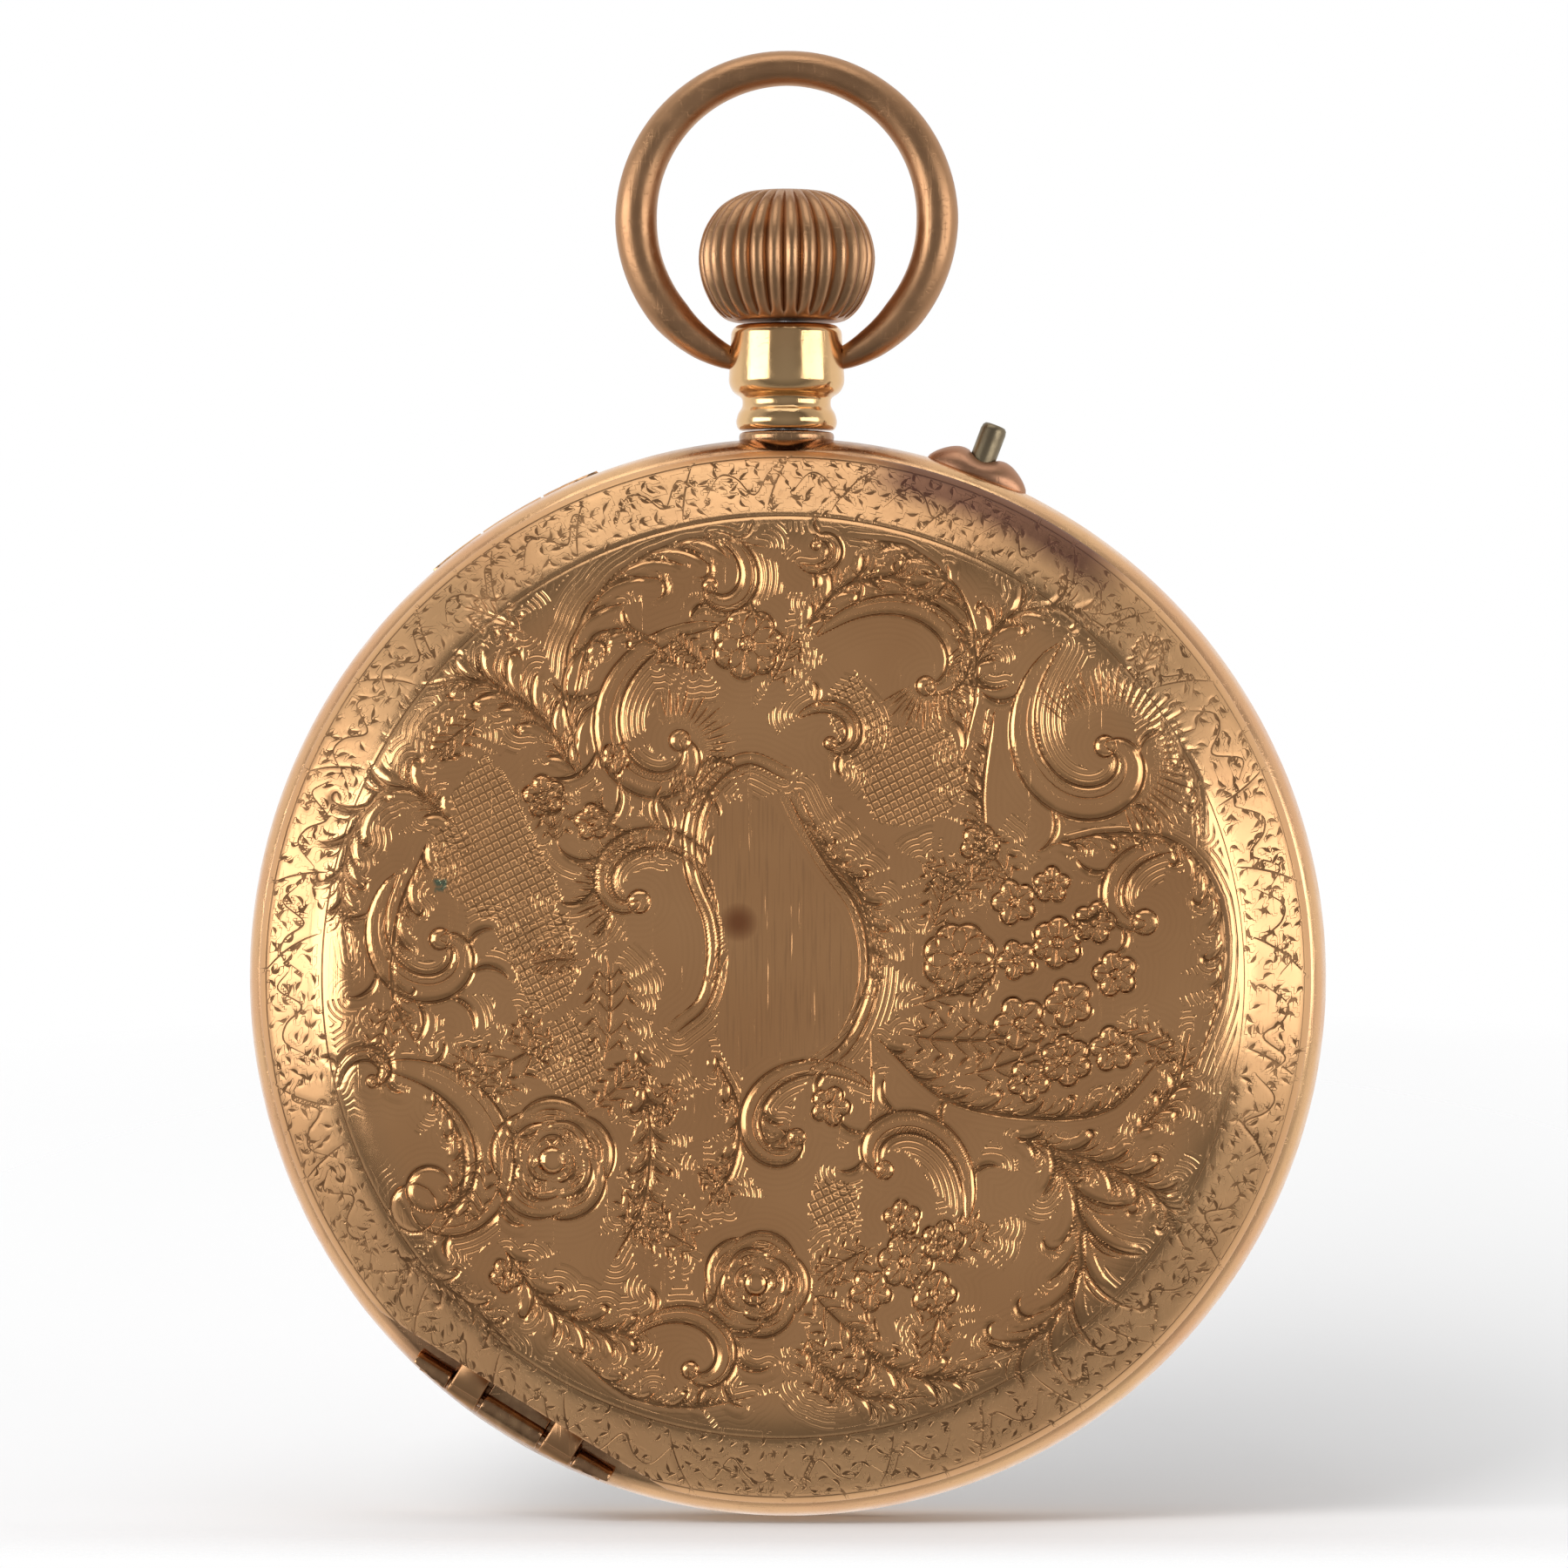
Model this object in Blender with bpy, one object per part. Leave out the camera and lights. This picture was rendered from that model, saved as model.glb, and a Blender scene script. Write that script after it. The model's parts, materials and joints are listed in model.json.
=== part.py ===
"""Open face pocket watch: engraved-back case, keyless pin-set lever movement, dial and hands.

The watch hangs upright: +Z points to the crown, +Y to the dial, and the back cover faces -Y.
The origin is the centre of the back cover's flat outer face. Sizes below are millimetres.
Pieces that belong at the rim are made at the top of the case and turned about Y into place.
"""
import math

import bmesh
import bpy
from mathutils import Matrix, Vector

MM = 0.001

# Driving sizes
CASE_RADIUS = 19.0
BACK_FLAT_RADIUS = 13.3
COVER_RIM_RADIUS = 18.45
CUVETTE_RADIUS = 16.9
BEZEL_RADIUS = 18.75
CASE_BORE = 16.2
BAND_BACK = 2.6
BAND_FRONT = 6.0
CRYSTAL_TOP = 10.3
STEM_Y = 4.1
RIM_SEGMENTS = 36

# Hinges, as (angle clockwise from the crown seen from the back, distance from the centre, y)
BACK_HINGE = (211.6, 18.3, 2.5)
BEZEL_HINGE = (-31.0, 18.75, 6.05)
BEZEL_LIP_TURN = 170.0
KNUCKLE_RADIUS = 0.48
SOCKET_RADIUS = 0.4
TROUGH_RADIUS = 0.56
HINGE_PIN_RADIUS = 0.2
HINGE_BORE = 0.26

# Pendant, crown and bow
BOSS_TOP = 19.2
PENDANT_BORE = 0.7
PENDANT_TOP = 23.0
BOW_PIVOT_Z = 21.8
BOW_CENTRE_Z = 26.76
BOW_RADIUS = 5.33
BOW_WIRE_TOP = 0.62
BOW_WIRE_SIDE = 0.74
CROWN_BOTTOM = 23.1
CROWN_TOP = 27.78
STEM_RADIUS = 0.42
SETTING_PIN_TURN = 20.8
SETTING_PIN_RADIUS = 0.46

# Levels of the movement along Y
BRIDGE_BACK = 1.75
BRIDGE_FRONT = 2.45
WINDING_BACK = 1.55
WINDING_FRONT = 2.1
RECESS_FLOOR = 2.15
PLATE_BACK = 4.45
PLATE_FRONT = 5.8
MOTION_BACK = 5.87
DIAL_BACK = 6.4
DIAL_FRONT = 6.9
PLATE_RADIUS = 15.9
BRIDGE_RADIUS = 15.3
DIAL_RADIUS = 15.6

# Centres of the movement's axes, as (x, z)
CENTER = (0.0, 0.0)
BARREL = (5.05, 5.05)
CROWN_WHEEL = (0.0, 10.0)
THIRD = (-3.12, -4.41)
FOURTH = (0.0, -8.0)
ESCAPE = (3.9, -9.8)
PALLET = (5.76, -8.05)
BALANCE = (9.0, -5.0)
MINUTE_WHEEL = (0.0, 2.6)
SETTING_WHEEL = (0.0, 7.2)
SETTING_LEVER = (7.9, 12.3)
CLICK = (11.2, 7.4)
COCK_FOOT = (13.1, -0.6)
PALLET_FOOT = (7.9, -11.9)
BARREL_SCREWS = ((-9.6, 10.4), (13.6, 3.9))
TRAIN_SCREWS = ((-13.3, -5.0), (-6.4, -12.7))
CASE_SCREWS = ((-15.15, 0.0), (3.92, -14.63))

MATERIALS = {
    "case_gold": ((0.72, 0.46, 0.22), 1.0, 0.28),
    "gilt_brass": ((0.78, 0.6, 0.3), 1.0, 0.35),
    "steel": ((0.62, 0.63, 0.65), 1.0, 0.25),
    "dull_brass": ((0.4, 0.36, 0.27), 1.0, 0.45),
    "blued_steel": ((0.03, 0.06, 0.2), 1.0, 0.25),
    "enamel": ((0.9, 0.89, 0.85), 0.0, 0.15),
    "glass": ((0.95, 0.97, 1.0), 0.0, 0.03),
    "jewel": ((0.5, 0.02, 0.06), 0.0, 0.1),
}


# ---------------------------------------------------------------- shared tools

def clear_scene():
    """Empties the file's scene."""
    for obj in list(bpy.data.objects):
        bpy.data.objects.remove(obj)


def make_materials():
    """One Principled material for each finish."""
    made = {}
    for name, (colour, metallic, roughness) in MATERIALS.items():
        material = bpy.data.materials.new(name)
        material.use_nodes = True
        shader = material.node_tree.nodes["Principled BSDF"]
        shader.inputs["Base Color"].default_value = (*colour, 1.0)
        shader.inputs["Metallic"].default_value = metallic
        shader.inputs["Roughness"].default_value = roughness
        made[name] = material
    return made


def solid(bm):
    """Turns a closed bmesh into an object, still drawn in millimetres."""
    bmesh.ops.recalc_face_normals(bm, faces=bm.faces)
    mesh = bpy.data.meshes.new("solid")
    bm.to_mesh(mesh)
    bm.free()
    obj = bpy.data.objects.new("solid", mesh)
    bpy.context.scene.collection.objects.link(obj)
    return obj


def turned(profile, segments, centre=(0.0, 0.0, 0.0), axis="Y"):
    """Spins a closed profile of (radius, height) about an axis through centre."""
    bm = bmesh.new()
    verts = [bm.verts.new((radius, 0.0, height)) for radius, height in profile]
    edges = [bm.edges.new((verts[i - 1], verts[i])) for i in range(len(verts))]
    bmesh.ops.spin(
        bm, geom=verts + edges, cent=(0, 0, 0), axis=(0, 0, 1),
        angle=math.tau, steps=segments, use_merge=True,
    )
    bmesh.ops.remove_doubles(bm, verts=bm.verts, dist=1e-4)
    for edge in [e for e in bm.edges if not e.link_faces]:
        bm.edges.remove(edge)
    if axis == "Y":
        bmesh.ops.rotate(bm, verts=bm.verts, matrix=Matrix.Rotation(-math.pi / 2, 3, "X"))
    bmesh.ops.translate(bm, verts=bm.verts, vec=centre)
    return solid(bm)


def rod(radius, low, high, centre=(0.0, 0.0), segments=12):
    """A plain cylinder along Y at centre (x, z), from y = low to y = high."""
    profile = [(0, low), (radius, low), (radius, high), (0, high)]
    return turned(profile, segments, (centre[0], 0.0, centre[1]))


def hinge_rod(hinge, radius, start, end, bore=0.0):
    """A cylinder or tube on a hinge's axis, from start to end measured from its middle."""
    turn, rim_radius, y = hinge
    obj = turned([(bore, start), (radius, start), (radius, end), (bore, end)], 12, axis="Z")
    stand = Matrix.Translation((0, y, rim_radius)) @ Matrix.Rotation(math.pi / 2, 4, "Y")
    obj.data.transform(Matrix.Rotation(math.radians(turn), 4, "Y") @ stand)
    return obj


def block(low, high, turn=0.0):
    """A box between two corners, turned about Y by an angle in degrees."""
    bm = bmesh.new()
    bmesh.ops.create_cube(bm, size=1.0)
    low, high = Vector(low), Vector(high)
    bmesh.ops.scale(bm, verts=bm.verts, vec=high - low)
    bmesh.ops.translate(bm, verts=bm.verts, vec=(low + high) / 2)
    bmesh.ops.rotate(bm, verts=bm.verts, matrix=Matrix.Rotation(math.radians(turn), 3, "Y"))
    return solid(bm)


def slab(outline, low, high, holes=()):
    """Extrudes an (x, z) outline with holes along Y."""
    bm = bmesh.new()
    edges = []
    for loop in (outline, *holes):
        verts = [bm.verts.new((x, low, z)) for x, z in loop]
        edges += [bm.edges.new((verts[i - 1], verts[i])) for i in range(len(verts))]
    bmesh.ops.triangle_fill(bm, use_beauty=True, edges=edges)
    grown = bmesh.ops.extrude_face_region(bm, geom=list(bm.faces))
    moved = [item for item in grown["geom"] if isinstance(item, bmesh.types.BMVert)]
    bmesh.ops.translate(bm, verts=moved, vec=(0, high - low, 0))
    return solid(bm)


def swept(points, radii, segments):
    """A round wire along points, with a radius at each point and flat ends."""
    bm = bmesh.new()
    rings = []
    for i, point in enumerate(points):
        ahead = points[min(i + 1, len(points) - 1)] - points[max(i - 1, 0)]
        side = Vector((0, 1, 0))
        up = ahead.cross(side).normalized()
        ring = []
        for k in range(segments):
            angle = math.tau * k / segments
            offset = side * math.cos(angle) + up * math.sin(angle)
            ring.append(bm.verts.new(point + offset * radii[i]))
        rings.append(ring)
    for first, second in zip(rings, rings[1:]):
        for k in range(segments):
            n = (k + 1) % segments
            bm.faces.new((first[k], first[n], second[n], second[k]))
    bm.faces.new(rings[0])
    bm.faces.new(rings[-1])
    return solid(bm)


def combine(base, operation, tools):
    """Applies one Boolean modifier with all the tools at once, and removes the tools."""
    group = bpy.data.collections.new("tools")
    for tool in tools:
        group.objects.link(tool)
    modifier = base.modifiers.new(operation.title(), "BOOLEAN")
    modifier.operation = operation
    modifier.operand_type = "COLLECTION"
    modifier.collection = group
    depsgraph = bpy.context.evaluated_depsgraph_get()
    base_mesh = bpy.data.meshes.new_from_object(base.evaluated_get(depsgraph))
    base.modifiers.clear()
    base.data = base_mesh
    for tool in tools:
        bpy.data.objects.remove(tool)
    bpy.data.collections.remove(group)
    return base


def join(base, *tools):
    """Unites solids into one body."""
    return combine(base, "UNION", tools)


def cut(base, *tools):
    """Cuts tools out of a solid."""
    return combine(base, "DIFFERENCE", tools)


def add_knuckles(base, hinge, spans):
    """Gives a solid bored knuckles on a hinge's axis, one for each (start, end)."""
    reach = max(abs(edge) for span in spans for edge in span) + 0.03
    base = cut(base, hinge_rod(hinge, SOCKET_RADIUS, -reach, reach))
    return join(base, *(hinge_rod(hinge, KNUCKLE_RADIUS, *span, HINGE_BORE) for span in spans))


def finish(obj, name, material, pivot=(0.0, 0.0, 0.0)):
    """Names a piece, gives it its finish, puts its origin on its axis and scales it to metres."""
    obj.name = name
    obj.data.name = name
    obj.data.materials.clear()
    obj.data.materials.append(FINISHES[material])
    obj.data.transform(Matrix.Scale(MM, 4) @ Matrix.Translation(-Vector(pivot)))
    obj.location = Vector(pivot) * MM
    obj.data.shade_smooth()
    obj.data.set_sharp_from_angle(angle=math.radians(35))
    return obj


# ---------------------------------------------------------------- outlines

def circle(centre, radius, points=12, start=0.0, end=360.0):
    """Points of an arc in (x, z), leaving out the last point of a full circle."""
    full = abs(end - start) >= 360.0
    steps = points if full else points - 1
    angles = [math.radians(start + (end - start) * i / steps) for i in range(points)]
    return [(centre[0] + radius * math.cos(a), centre[1] + radius * math.sin(a)) for a in angles]


def toothed(centre, teeth, tip, root, flat=0.0):
    """A gear's outline: one point in each gap, and one or two on each tip."""
    outline = []
    pitch = math.tau / teeth
    for i in range(teeth):
        angle = i * pitch
        corners = [(root, angle)]
        if flat:
            corners += [(tip, angle + pitch * (0.5 - flat)), (tip, angle + pitch * (0.5 + flat))]
        else:
            corners.append((tip, angle + pitch * 0.5))
        for radius, a in corners:
            outline.append((centre[0] + radius * math.cos(a), centre[1] + radius * math.sin(a)))
    return outline


def windows(centre, count, inner, outer, bar, points=4):
    """The openings between a wheel's spokes, as closed outlines."""
    loops = []
    for i in range(count):
        middle = 360.0 * (i + 0.5) / count
        half_out = 180.0 / count - math.degrees(bar / 2 / outer)
        half_in = 180.0 / count - math.degrees(bar / 2 / inner)
        far = circle(centre, outer, points, middle - half_out, middle + half_out)
        near = circle(centre, inner, 2, middle + half_in, middle - half_in)
        loops.append(far + near)
    return loops


def spiral(centre, inner, outer, turns, thickness, steps):
    """A flat ribbon wound into a spiral, as one closed outline."""
    count = int(turns * steps)
    sides = []
    for offset in (thickness / 2, -thickness / 2):
        side = []
        for i in range(count + 1):
            angle = math.tau * i / steps
            radius = inner + (outer - inner) * i / count + offset
            side.append((centre[0] + radius * math.cos(angle), centre[1] + radius * math.sin(angle)))
        sides.append(side)
    return sides[0] + sides[1][::-1]


def ring_sector(inner, outer, start, end, points=6):
    """Part of a ring about the movement's centre."""
    return circle(CENTER, outer, points, start, end) + circle(CENTER, inner, points, end, start)


def capsule(first, second, first_radius, second_radius):
    """Two round ends joined by straight sides."""
    direction = math.degrees(math.atan2(second[1] - first[1], second[0] - first[0]))
    back = circle(first, first_radius, 7, direction + 90, direction + 270)
    front = circle(second, second_radius, 7, direction - 90, direction + 90)
    return back + front


# ---------------------------------------------------------------- case

def make_case_middle():
    """The band: seats for the cuvette, back cover and bezel, and the pendant's boss."""
    profile = [
        (CASE_BORE, BAND_FRONT), (CASE_BORE, BAND_BACK), (17.05, BAND_BACK), (17.05, 2.3),
        (17.4, 2.3), (17.4, BAND_BACK), (18.4, BAND_BACK), (18.82, 3.05), (CASE_RADIUS, 3.8),
        (CASE_RADIUS, 4.8), (18.82, 5.55), (18.4, BAND_FRONT),
    ]
    band = turned(profile, RIM_SEGMENTS)
    boss = turned(
        [(0, 17.6), (1.4, 17.6), (1.4, 18.45), (1.68, 18.85), (1.68, BOSS_TOP), (0, BOSS_TOP)], 24,
        (0, STEM_Y, 0), "Z",
    )
    stem_bore = turned([(0, 15), (0.75, 15), (0.75, 20), (0, 20)], 16, (0, STEM_Y, 0), "Z")
    pin_bore = turned([(0, 15), (0.56, 15), (0.56, 20), (0, 20)], 12, (0, STEM_Y, 0), "Z")
    pin_bore.data.transform(Matrix.Rotation(math.radians(SETTING_PIN_TURN), 4, "Y"))
    band = cut(
        band,
        hinge_rod(BACK_HINGE, TROUGH_RADIUS, -2.55, 2.55),
        hinge_rod(BEZEL_HINGE, TROUGH_RADIUS, -1.25, 1.25),
        block((-1.4, 2.0, 16.6), (1.4, BAND_BACK + 0.02, 17.6), BACK_HINGE[0]),
    )
    knuckles = [
        hinge_rod(hinge, KNUCKLE_RADIUS, low, high)
        for hinge, low, high in (
            (BACK_HINGE, -4.0, -2.6), (BACK_HINGE, 2.6, 4.0),
            (BEZEL_HINGE, -3.4, -1.3), (BEZEL_HINGE, 1.3, 3.4),
        )
    ]
    band = cut(
        join(band, boss, *knuckles), stem_bore, pin_bore,
        hinge_rod(BACK_HINGE, HINGE_BORE, -3.8, 3.8),
        hinge_rod(BEZEL_HINGE, HINGE_BORE, -3.2, 3.2),
        *(rod(1.2, 3.9, 4.48, centre) for centre in CASE_SCREWS),
    )
    finish(band, "case_middle", "case_gold")


def make_pendant():
    """The collared tube that guides the stem and holds the bow's ends."""
    profile = [
        (PENDANT_BORE, PENDANT_TOP), (1.75, PENDANT_TOP), (1.91, 22.85), (2.05, 20.95),
        (1.9, 20.6), (1.56, 20.4), (1.56, 20.1), (1.72, 19.85), (1.8, 19.55), (1.7, 19.27),
        (PENDANT_BORE, 19.27),
    ]
    pendant = turned(profile, 24, (0, STEM_Y, 0), "Z")
    sockets = []
    for side in (-1, 1):
        ends = sorted((side * 1.25, side * 2.4))
        sockets.append(hinge_rod((0.0, BOW_PIVOT_Z, STEM_Y), 0.5, *ends))
    finish(cut(pendant, *sockets), "pendant", "case_gold", (0, STEM_Y, BOW_PIVOT_Z))


def make_bow():
    """A round wire ring whose thinned ends pivot in the pendant's sides."""
    start = math.asin((BOW_PIVOT_Z - BOW_CENTRE_Z + 0.28) / BOW_RADIUS)
    points = [Vector((1.45, STEM_Y, BOW_PIVOT_Z)), Vector((2.12, STEM_Y, BOW_PIVOT_Z))]
    radii = [0.36, 0.36]
    steps = 22
    for i in range(steps + 1):
        angle = start + (math.pi - 2 * start) * i / steps
        points.append(Vector((
            BOW_RADIUS * math.cos(angle), STEM_Y, BOW_CENTRE_Z + BOW_RADIUS * math.sin(angle))))
        rise = max(0.0, math.sin(angle))
        radii.append(BOW_WIRE_SIDE + (BOW_WIRE_TOP - BOW_WIRE_SIDE) * rise)
    points += [Vector((-2.12, STEM_Y, BOW_PIVOT_Z)), Vector((-1.45, STEM_Y, BOW_PIVOT_Z))]
    radii += [0.36, 0.36]
    radii[2] = radii[-3] = 0.6
    finish(swept(points, radii, 12), "bow", "case_gold", (0, STEM_Y, BOW_PIVOT_Z))


def make_crown():
    """The onion crown, with a blind bore for the stem."""
    profile = [
        (0, CROWN_TOP), (1.5, 27.7), (2.35, 27.25), (2.95, 26.4), (3.17, 25.4), (3.0, 24.4),
        (2.6, 23.6), (2.15, CROWN_BOTTOM), (0.5, CROWN_BOTTOM), (0.5, 26.2), (0, 26.2),
    ]
    finish(turned(profile, 30, (0, STEM_Y, 0), "Z"), "crown", "case_gold", (0, STEM_Y, 25.0))


def make_back_cover():
    """The outer back: flat in the middle, rounded to its rim, with two hinge knuckles."""
    profile = [
        (0, 0), (BACK_FLAT_RADIUS, 0), (15.8, 0.22), (17.3, 0.85), (18.15, 1.6),
        (COVER_RIM_RADIUS, 2.05), (COVER_RIM_RADIUS, 2.45), (17.75, 2.45), (17.6, 2.0),
        (16.9, 1.2), (15.6, 0.62), (BACK_FLAT_RADIUS, 0.4), (0, 0.4),
    ]
    cover = cut(turned(profile, RIM_SEGMENTS), block((-7, -1, 17.45), (7, 4, 20), BACK_HINGE[0]))
    tabs = [
        block((low, 1.45, 17.25), (high, 2.2, 18.3), BACK_HINGE[0])
        for low, high in ((-2.5, -1.35), (1.35, 2.5))
    ]
    cover = add_knuckles(join(cover, *tabs), BACK_HINGE, ((-2.52, -1.33), (1.33, 2.52)))
    finish(cover, "back_cover", "case_gold", hinge_point(BACK_HINGE))


def make_cuvette():
    """The inner dust cover, hinged on the same pin between the cover's knuckles."""
    profile = [
        (0, 0.75), (14.6, 0.75), (16.2, 1.3), (CUVETTE_RADIUS, 2.0), (CUVETTE_RADIUS, 2.5),
        (16.5, 2.5), (16.5, 2.15), (15.95, 1.55), (14.5, 1.05), (0, 1.05),
    ]
    arm = block((-1.18, 2.12, 16.65), (1.18, 2.45, 18.3), BACK_HINGE[0])
    cuvette = join(turned(profile, RIM_SEGMENTS), arm)
    cuvette = add_knuckles(cuvette, BACK_HINGE, ((-1.2, 1.2),))
    finish(cuvette, "cuvette", "case_gold", hinge_point(BACK_HINGE))


def make_bezel():
    """The front ring that holds the crystal, with its knuckle and thumb lip."""
    profile = [
        (15.9, 6.1), (18.3, 6.1), (BEZEL_RADIUS, 6.6), (BEZEL_RADIUS, 7.2), (17.95, 8.35),
        (17.0, 9.0), (16.35, 9.0), (16.35, 8.0), (15.5, 8.0), (15.3, 7.05), (15.9, 7.05),
    ]
    troughs = [
        hinge_rod(BEZEL_HINGE, TROUGH_RADIUS, low, high) for low, high in ((-3.5, -1.25), (1.25, 3.5))
    ]
    bezel = cut(turned(profile, RIM_SEGMENTS), *troughs)
    bezel = add_knuckles(bezel, BEZEL_HINGE, ((-1.2, 1.2),))
    bezel = join(bezel, block((-1.1, 6.2, 18.0), (1.1, 6.75, 19.1), BEZEL_LIP_TURN))
    finish(bezel, "bezel", "case_gold", hinge_point(BEZEL_HINGE))


def make_crystal():
    """The domed glass, seated in the bezel's rabbet."""
    profile = [
        (0, CRYSTAL_TOP), (8, 9.98), (13, 9.35), (15.6, 8.85), (16.2, 8.55), (16.2, 8.1),
        (15.6, 8.1), (12.6, 8.65), (7.8, 9.2), (0, 9.5),
    ]
    finish(turned(profile, RIM_SEGMENTS), "crystal", "glass", hinge_point(BEZEL_HINGE))


def make_hinge_pins():
    """The two pins that the case's hinges turn on."""
    back = hinge_rod(BACK_HINGE, HINGE_PIN_RADIUS, -3.7, 3.7)
    finish(back, "back_hinge_pin", "steel", hinge_point(BACK_HINGE))
    front = hinge_rod(BEZEL_HINGE, HINGE_PIN_RADIUS, -3.1, 3.1)
    finish(front, "bezel_hinge_pin", "steel", hinge_point(BEZEL_HINGE))


def hinge_point(hinge):
    """The middle of a hinge's axis, in world coordinates."""
    turn, radius, y = hinge
    angle = math.radians(turn)
    return (radius * math.sin(angle), y, radius * math.cos(angle))


def make_setting_pin():
    """The nail-set pin: pressed inwards, it moves the setting lever."""
    profile = [
        (0, 16.2), (SETTING_PIN_RADIUS, 16.2), (SETTING_PIN_RADIUS, 20.65), (0.3, 20.8),
        (0, 20.8),
    ]
    pin = turned(profile, 12, (0, STEM_Y, 0), "Z")
    pin.data.transform(Matrix.Rotation(math.radians(SETTING_PIN_TURN), 4, "Y"))
    finish(pin, "setting_pin", "dull_brass", hinge_point((SETTING_PIN_TURN, 18.6, STEM_Y)))


def make_olivette():
    """The guard soldered to the band on both sides of the setting pin."""
    top = [(-1.9, 19.45), (-1.0, 19.85), (0, 19.95), (1.0, 19.85), (1.9, 19.45)]
    base = circle(CENTER, CASE_RADIUS + 0.06, 7, 83.1, 96.9)
    guard = slab(top + base, STEM_Y - 0.95, STEM_Y + 0.95)
    hole = turned([(0, 18), (0.57, 18), (0.57, 21), (0, 21)], 12, (0, STEM_Y, 0), "Z")
    guard = cut(guard, hole)
    guard.data.transform(Matrix.Rotation(math.radians(SETTING_PIN_TURN), 4, "Y"))
    finish(guard, "olivette", "case_gold", hinge_point((SETTING_PIN_TURN, 19.4, STEM_Y)))


# ---------------------------------------------------------------- frame

def screw(name, centre, head_radius, head_back, shaft_radius, shaft_end, material="blued_steel"):
    """A slotted screw with its head towards the back of the watch."""
    head_front = head_back + 0.3
    profile = [
        (0, head_back), (head_radius, head_back), (head_radius, head_front),
        (shaft_radius, head_front), (shaft_radius, shaft_end), (0, shaft_end),
    ]
    body = turned(profile, 8, (centre[0], 0, centre[1]))
    slot = block(
        (centre[0] - 2 * head_radius, head_back - 0.2, centre[1] - 0.09),
        (centre[0] + 2 * head_radius, head_back + 0.12, centre[1] + 0.09),
    )
    finish(cut(body, slot), name, material, (centre[0], head_back, centre[1]))


def make_main_plate():
    """The plate that carries everything, with a slot for the winding parts."""
    notch = 1.95
    edge = math.degrees(math.asin(notch / PLATE_RADIUS))
    outline = circle(CENTER, PLATE_RADIUS, RIM_SEGMENTS, 90 + edge, 450 - edge)
    outline += [(notch, 10.1), (-notch, 10.1)]
    holes = [
        circle(CENTER, 0.5), circle(BARREL, 0.55), circle(THIRD, 0.32, 8), circle(FOURTH, 0.35, 8),
        circle(ESCAPE, 0.32, 8), circle(PALLET, 0.32, 8), circle(BALANCE, 0.36, 8),
    ]
    drilled = (*BARREL_SCREWS, *TRAIN_SCREWS, COCK_FOOT, PALLET_FOOT, *CASE_SCREWS)
    holes += [circle(centre, 0.45, 8) for centre in drilled]
    plate = slab(outline, PLATE_BACK, PLATE_FRONT, holes)
    turn = SETTING_PIN_TURN
    plate = cut(plate, block((-0.7, 4.0, 15.2), (0.7, 4.8, 16.5), turn))
    plate = join(plate, rod(0.3, 5.0, 6.3, MINUTE_WHEEL), rod(0.3, 5.0, 6.15, SETTING_WHEEL))
    finish(plate, "main_plate", "gilt_brass")


def make_barrel_bridge():
    """The bridge over the barrel, recessed for the crown and ratchet wheels."""
    low = math.degrees(math.asin(1.9 / BRIDGE_RADIUS))
    outline = circle(CENTER, BRIDGE_RADIUS, 26, low, 180 - low)
    outline += [(-2.2, 1.9), (-1.4, 2.3), (1.4, 2.3), (2.2, 1.9)]
    bridge = slab(outline, BRIDGE_BACK, BRIDGE_FRONT)
    bridge = join(
        bridge,
        slab(ring_sector(13.4, 15.2, 100, 168), 2.3, 4.4),
        slab(ring_sector(13.4, 15.2, 9, 23, 4), 2.3, 4.4),
    )
    bridge = cut(
        bridge,
        slab(circle(CROWN_WHEEL, 3.15, 24), 1.0, RECESS_FLOOR),
        slab(circle(BARREL, 4.2, 28), 1.0, RECESS_FLOOR),
        block((-1.95, 1.0, 12.3), (1.95, 3.0, 13.95)),
        rod(0.72, 1.0, 3.0, BARREL),
        rod(0.4, 1.0, 3.0, CROWN_WHEEL),
        rod(0.4, 1.0, 3.0, CLICK),
        *(rod(0.45, 1.0, 5.0, centre) for centre in BARREL_SCREWS),
    )
    finish(bridge, "barrel_bridge", "gilt_brass")


def make_train_bridge():
    """The bridge over the train, cut away around the balance."""
    top = math.degrees(math.asin(1.5 / BRIDGE_RADIUS))
    outline = circle(CENTER, BRIDGE_RADIUS, 22, 180 - top, 290)
    outline += circle(BALANCE, 5.0, 9, 238, 132)
    outline += [(3.2, 1.5)]
    holes = [
        circle(CENTER, 0.5), circle(THIRD, 0.32, 8), circle(FOURTH, 0.32, 8),
        circle(ESCAPE, 0.32, 8),
    ]
    bridge = slab(outline, BRIDGE_BACK, BRIDGE_FRONT, holes)
    bridge = join(bridge, slab(ring_sector(12.5, 15.2, 192, 252), 2.3, 4.4))
    bridge = cut(bridge, *(rod(0.45, 1.0, 5.0, centre) for centre in TRAIN_SCREWS))
    finish(bridge, "train_bridge", "gilt_brass")


def make_cocks():
    """The balance cock and, under the balance, the pallet cock."""
    arm = slab(capsule(COCK_FOOT, BALANCE, 1.5, 1.05), 1.5, 2.05)
    foot = slab(circle(COCK_FOOT, 1.25, 16), 1.9, 4.4)
    cock = cut(join(arm, foot), rod(0.45, 1.0, 5.0, COCK_FOOT), rod(0.34, 1.0, 3.0, BALANCE))
    finish(cock, "balance_cock", "gilt_brass")
    arm = slab(capsule(PALLET_FOOT, PALLET, 0.85, 0.6), 3.05, 3.4)
    foot = slab(circle(PALLET_FOOT, 0.75, 12), 3.2, 4.4)
    cock = cut(join(arm, foot), rod(0.42, 2.0, 5.0, PALLET_FOOT), rod(0.32, 2.0, 4.0, PALLET))
    finish(cock, "pallet_cock", "gilt_brass")


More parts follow.
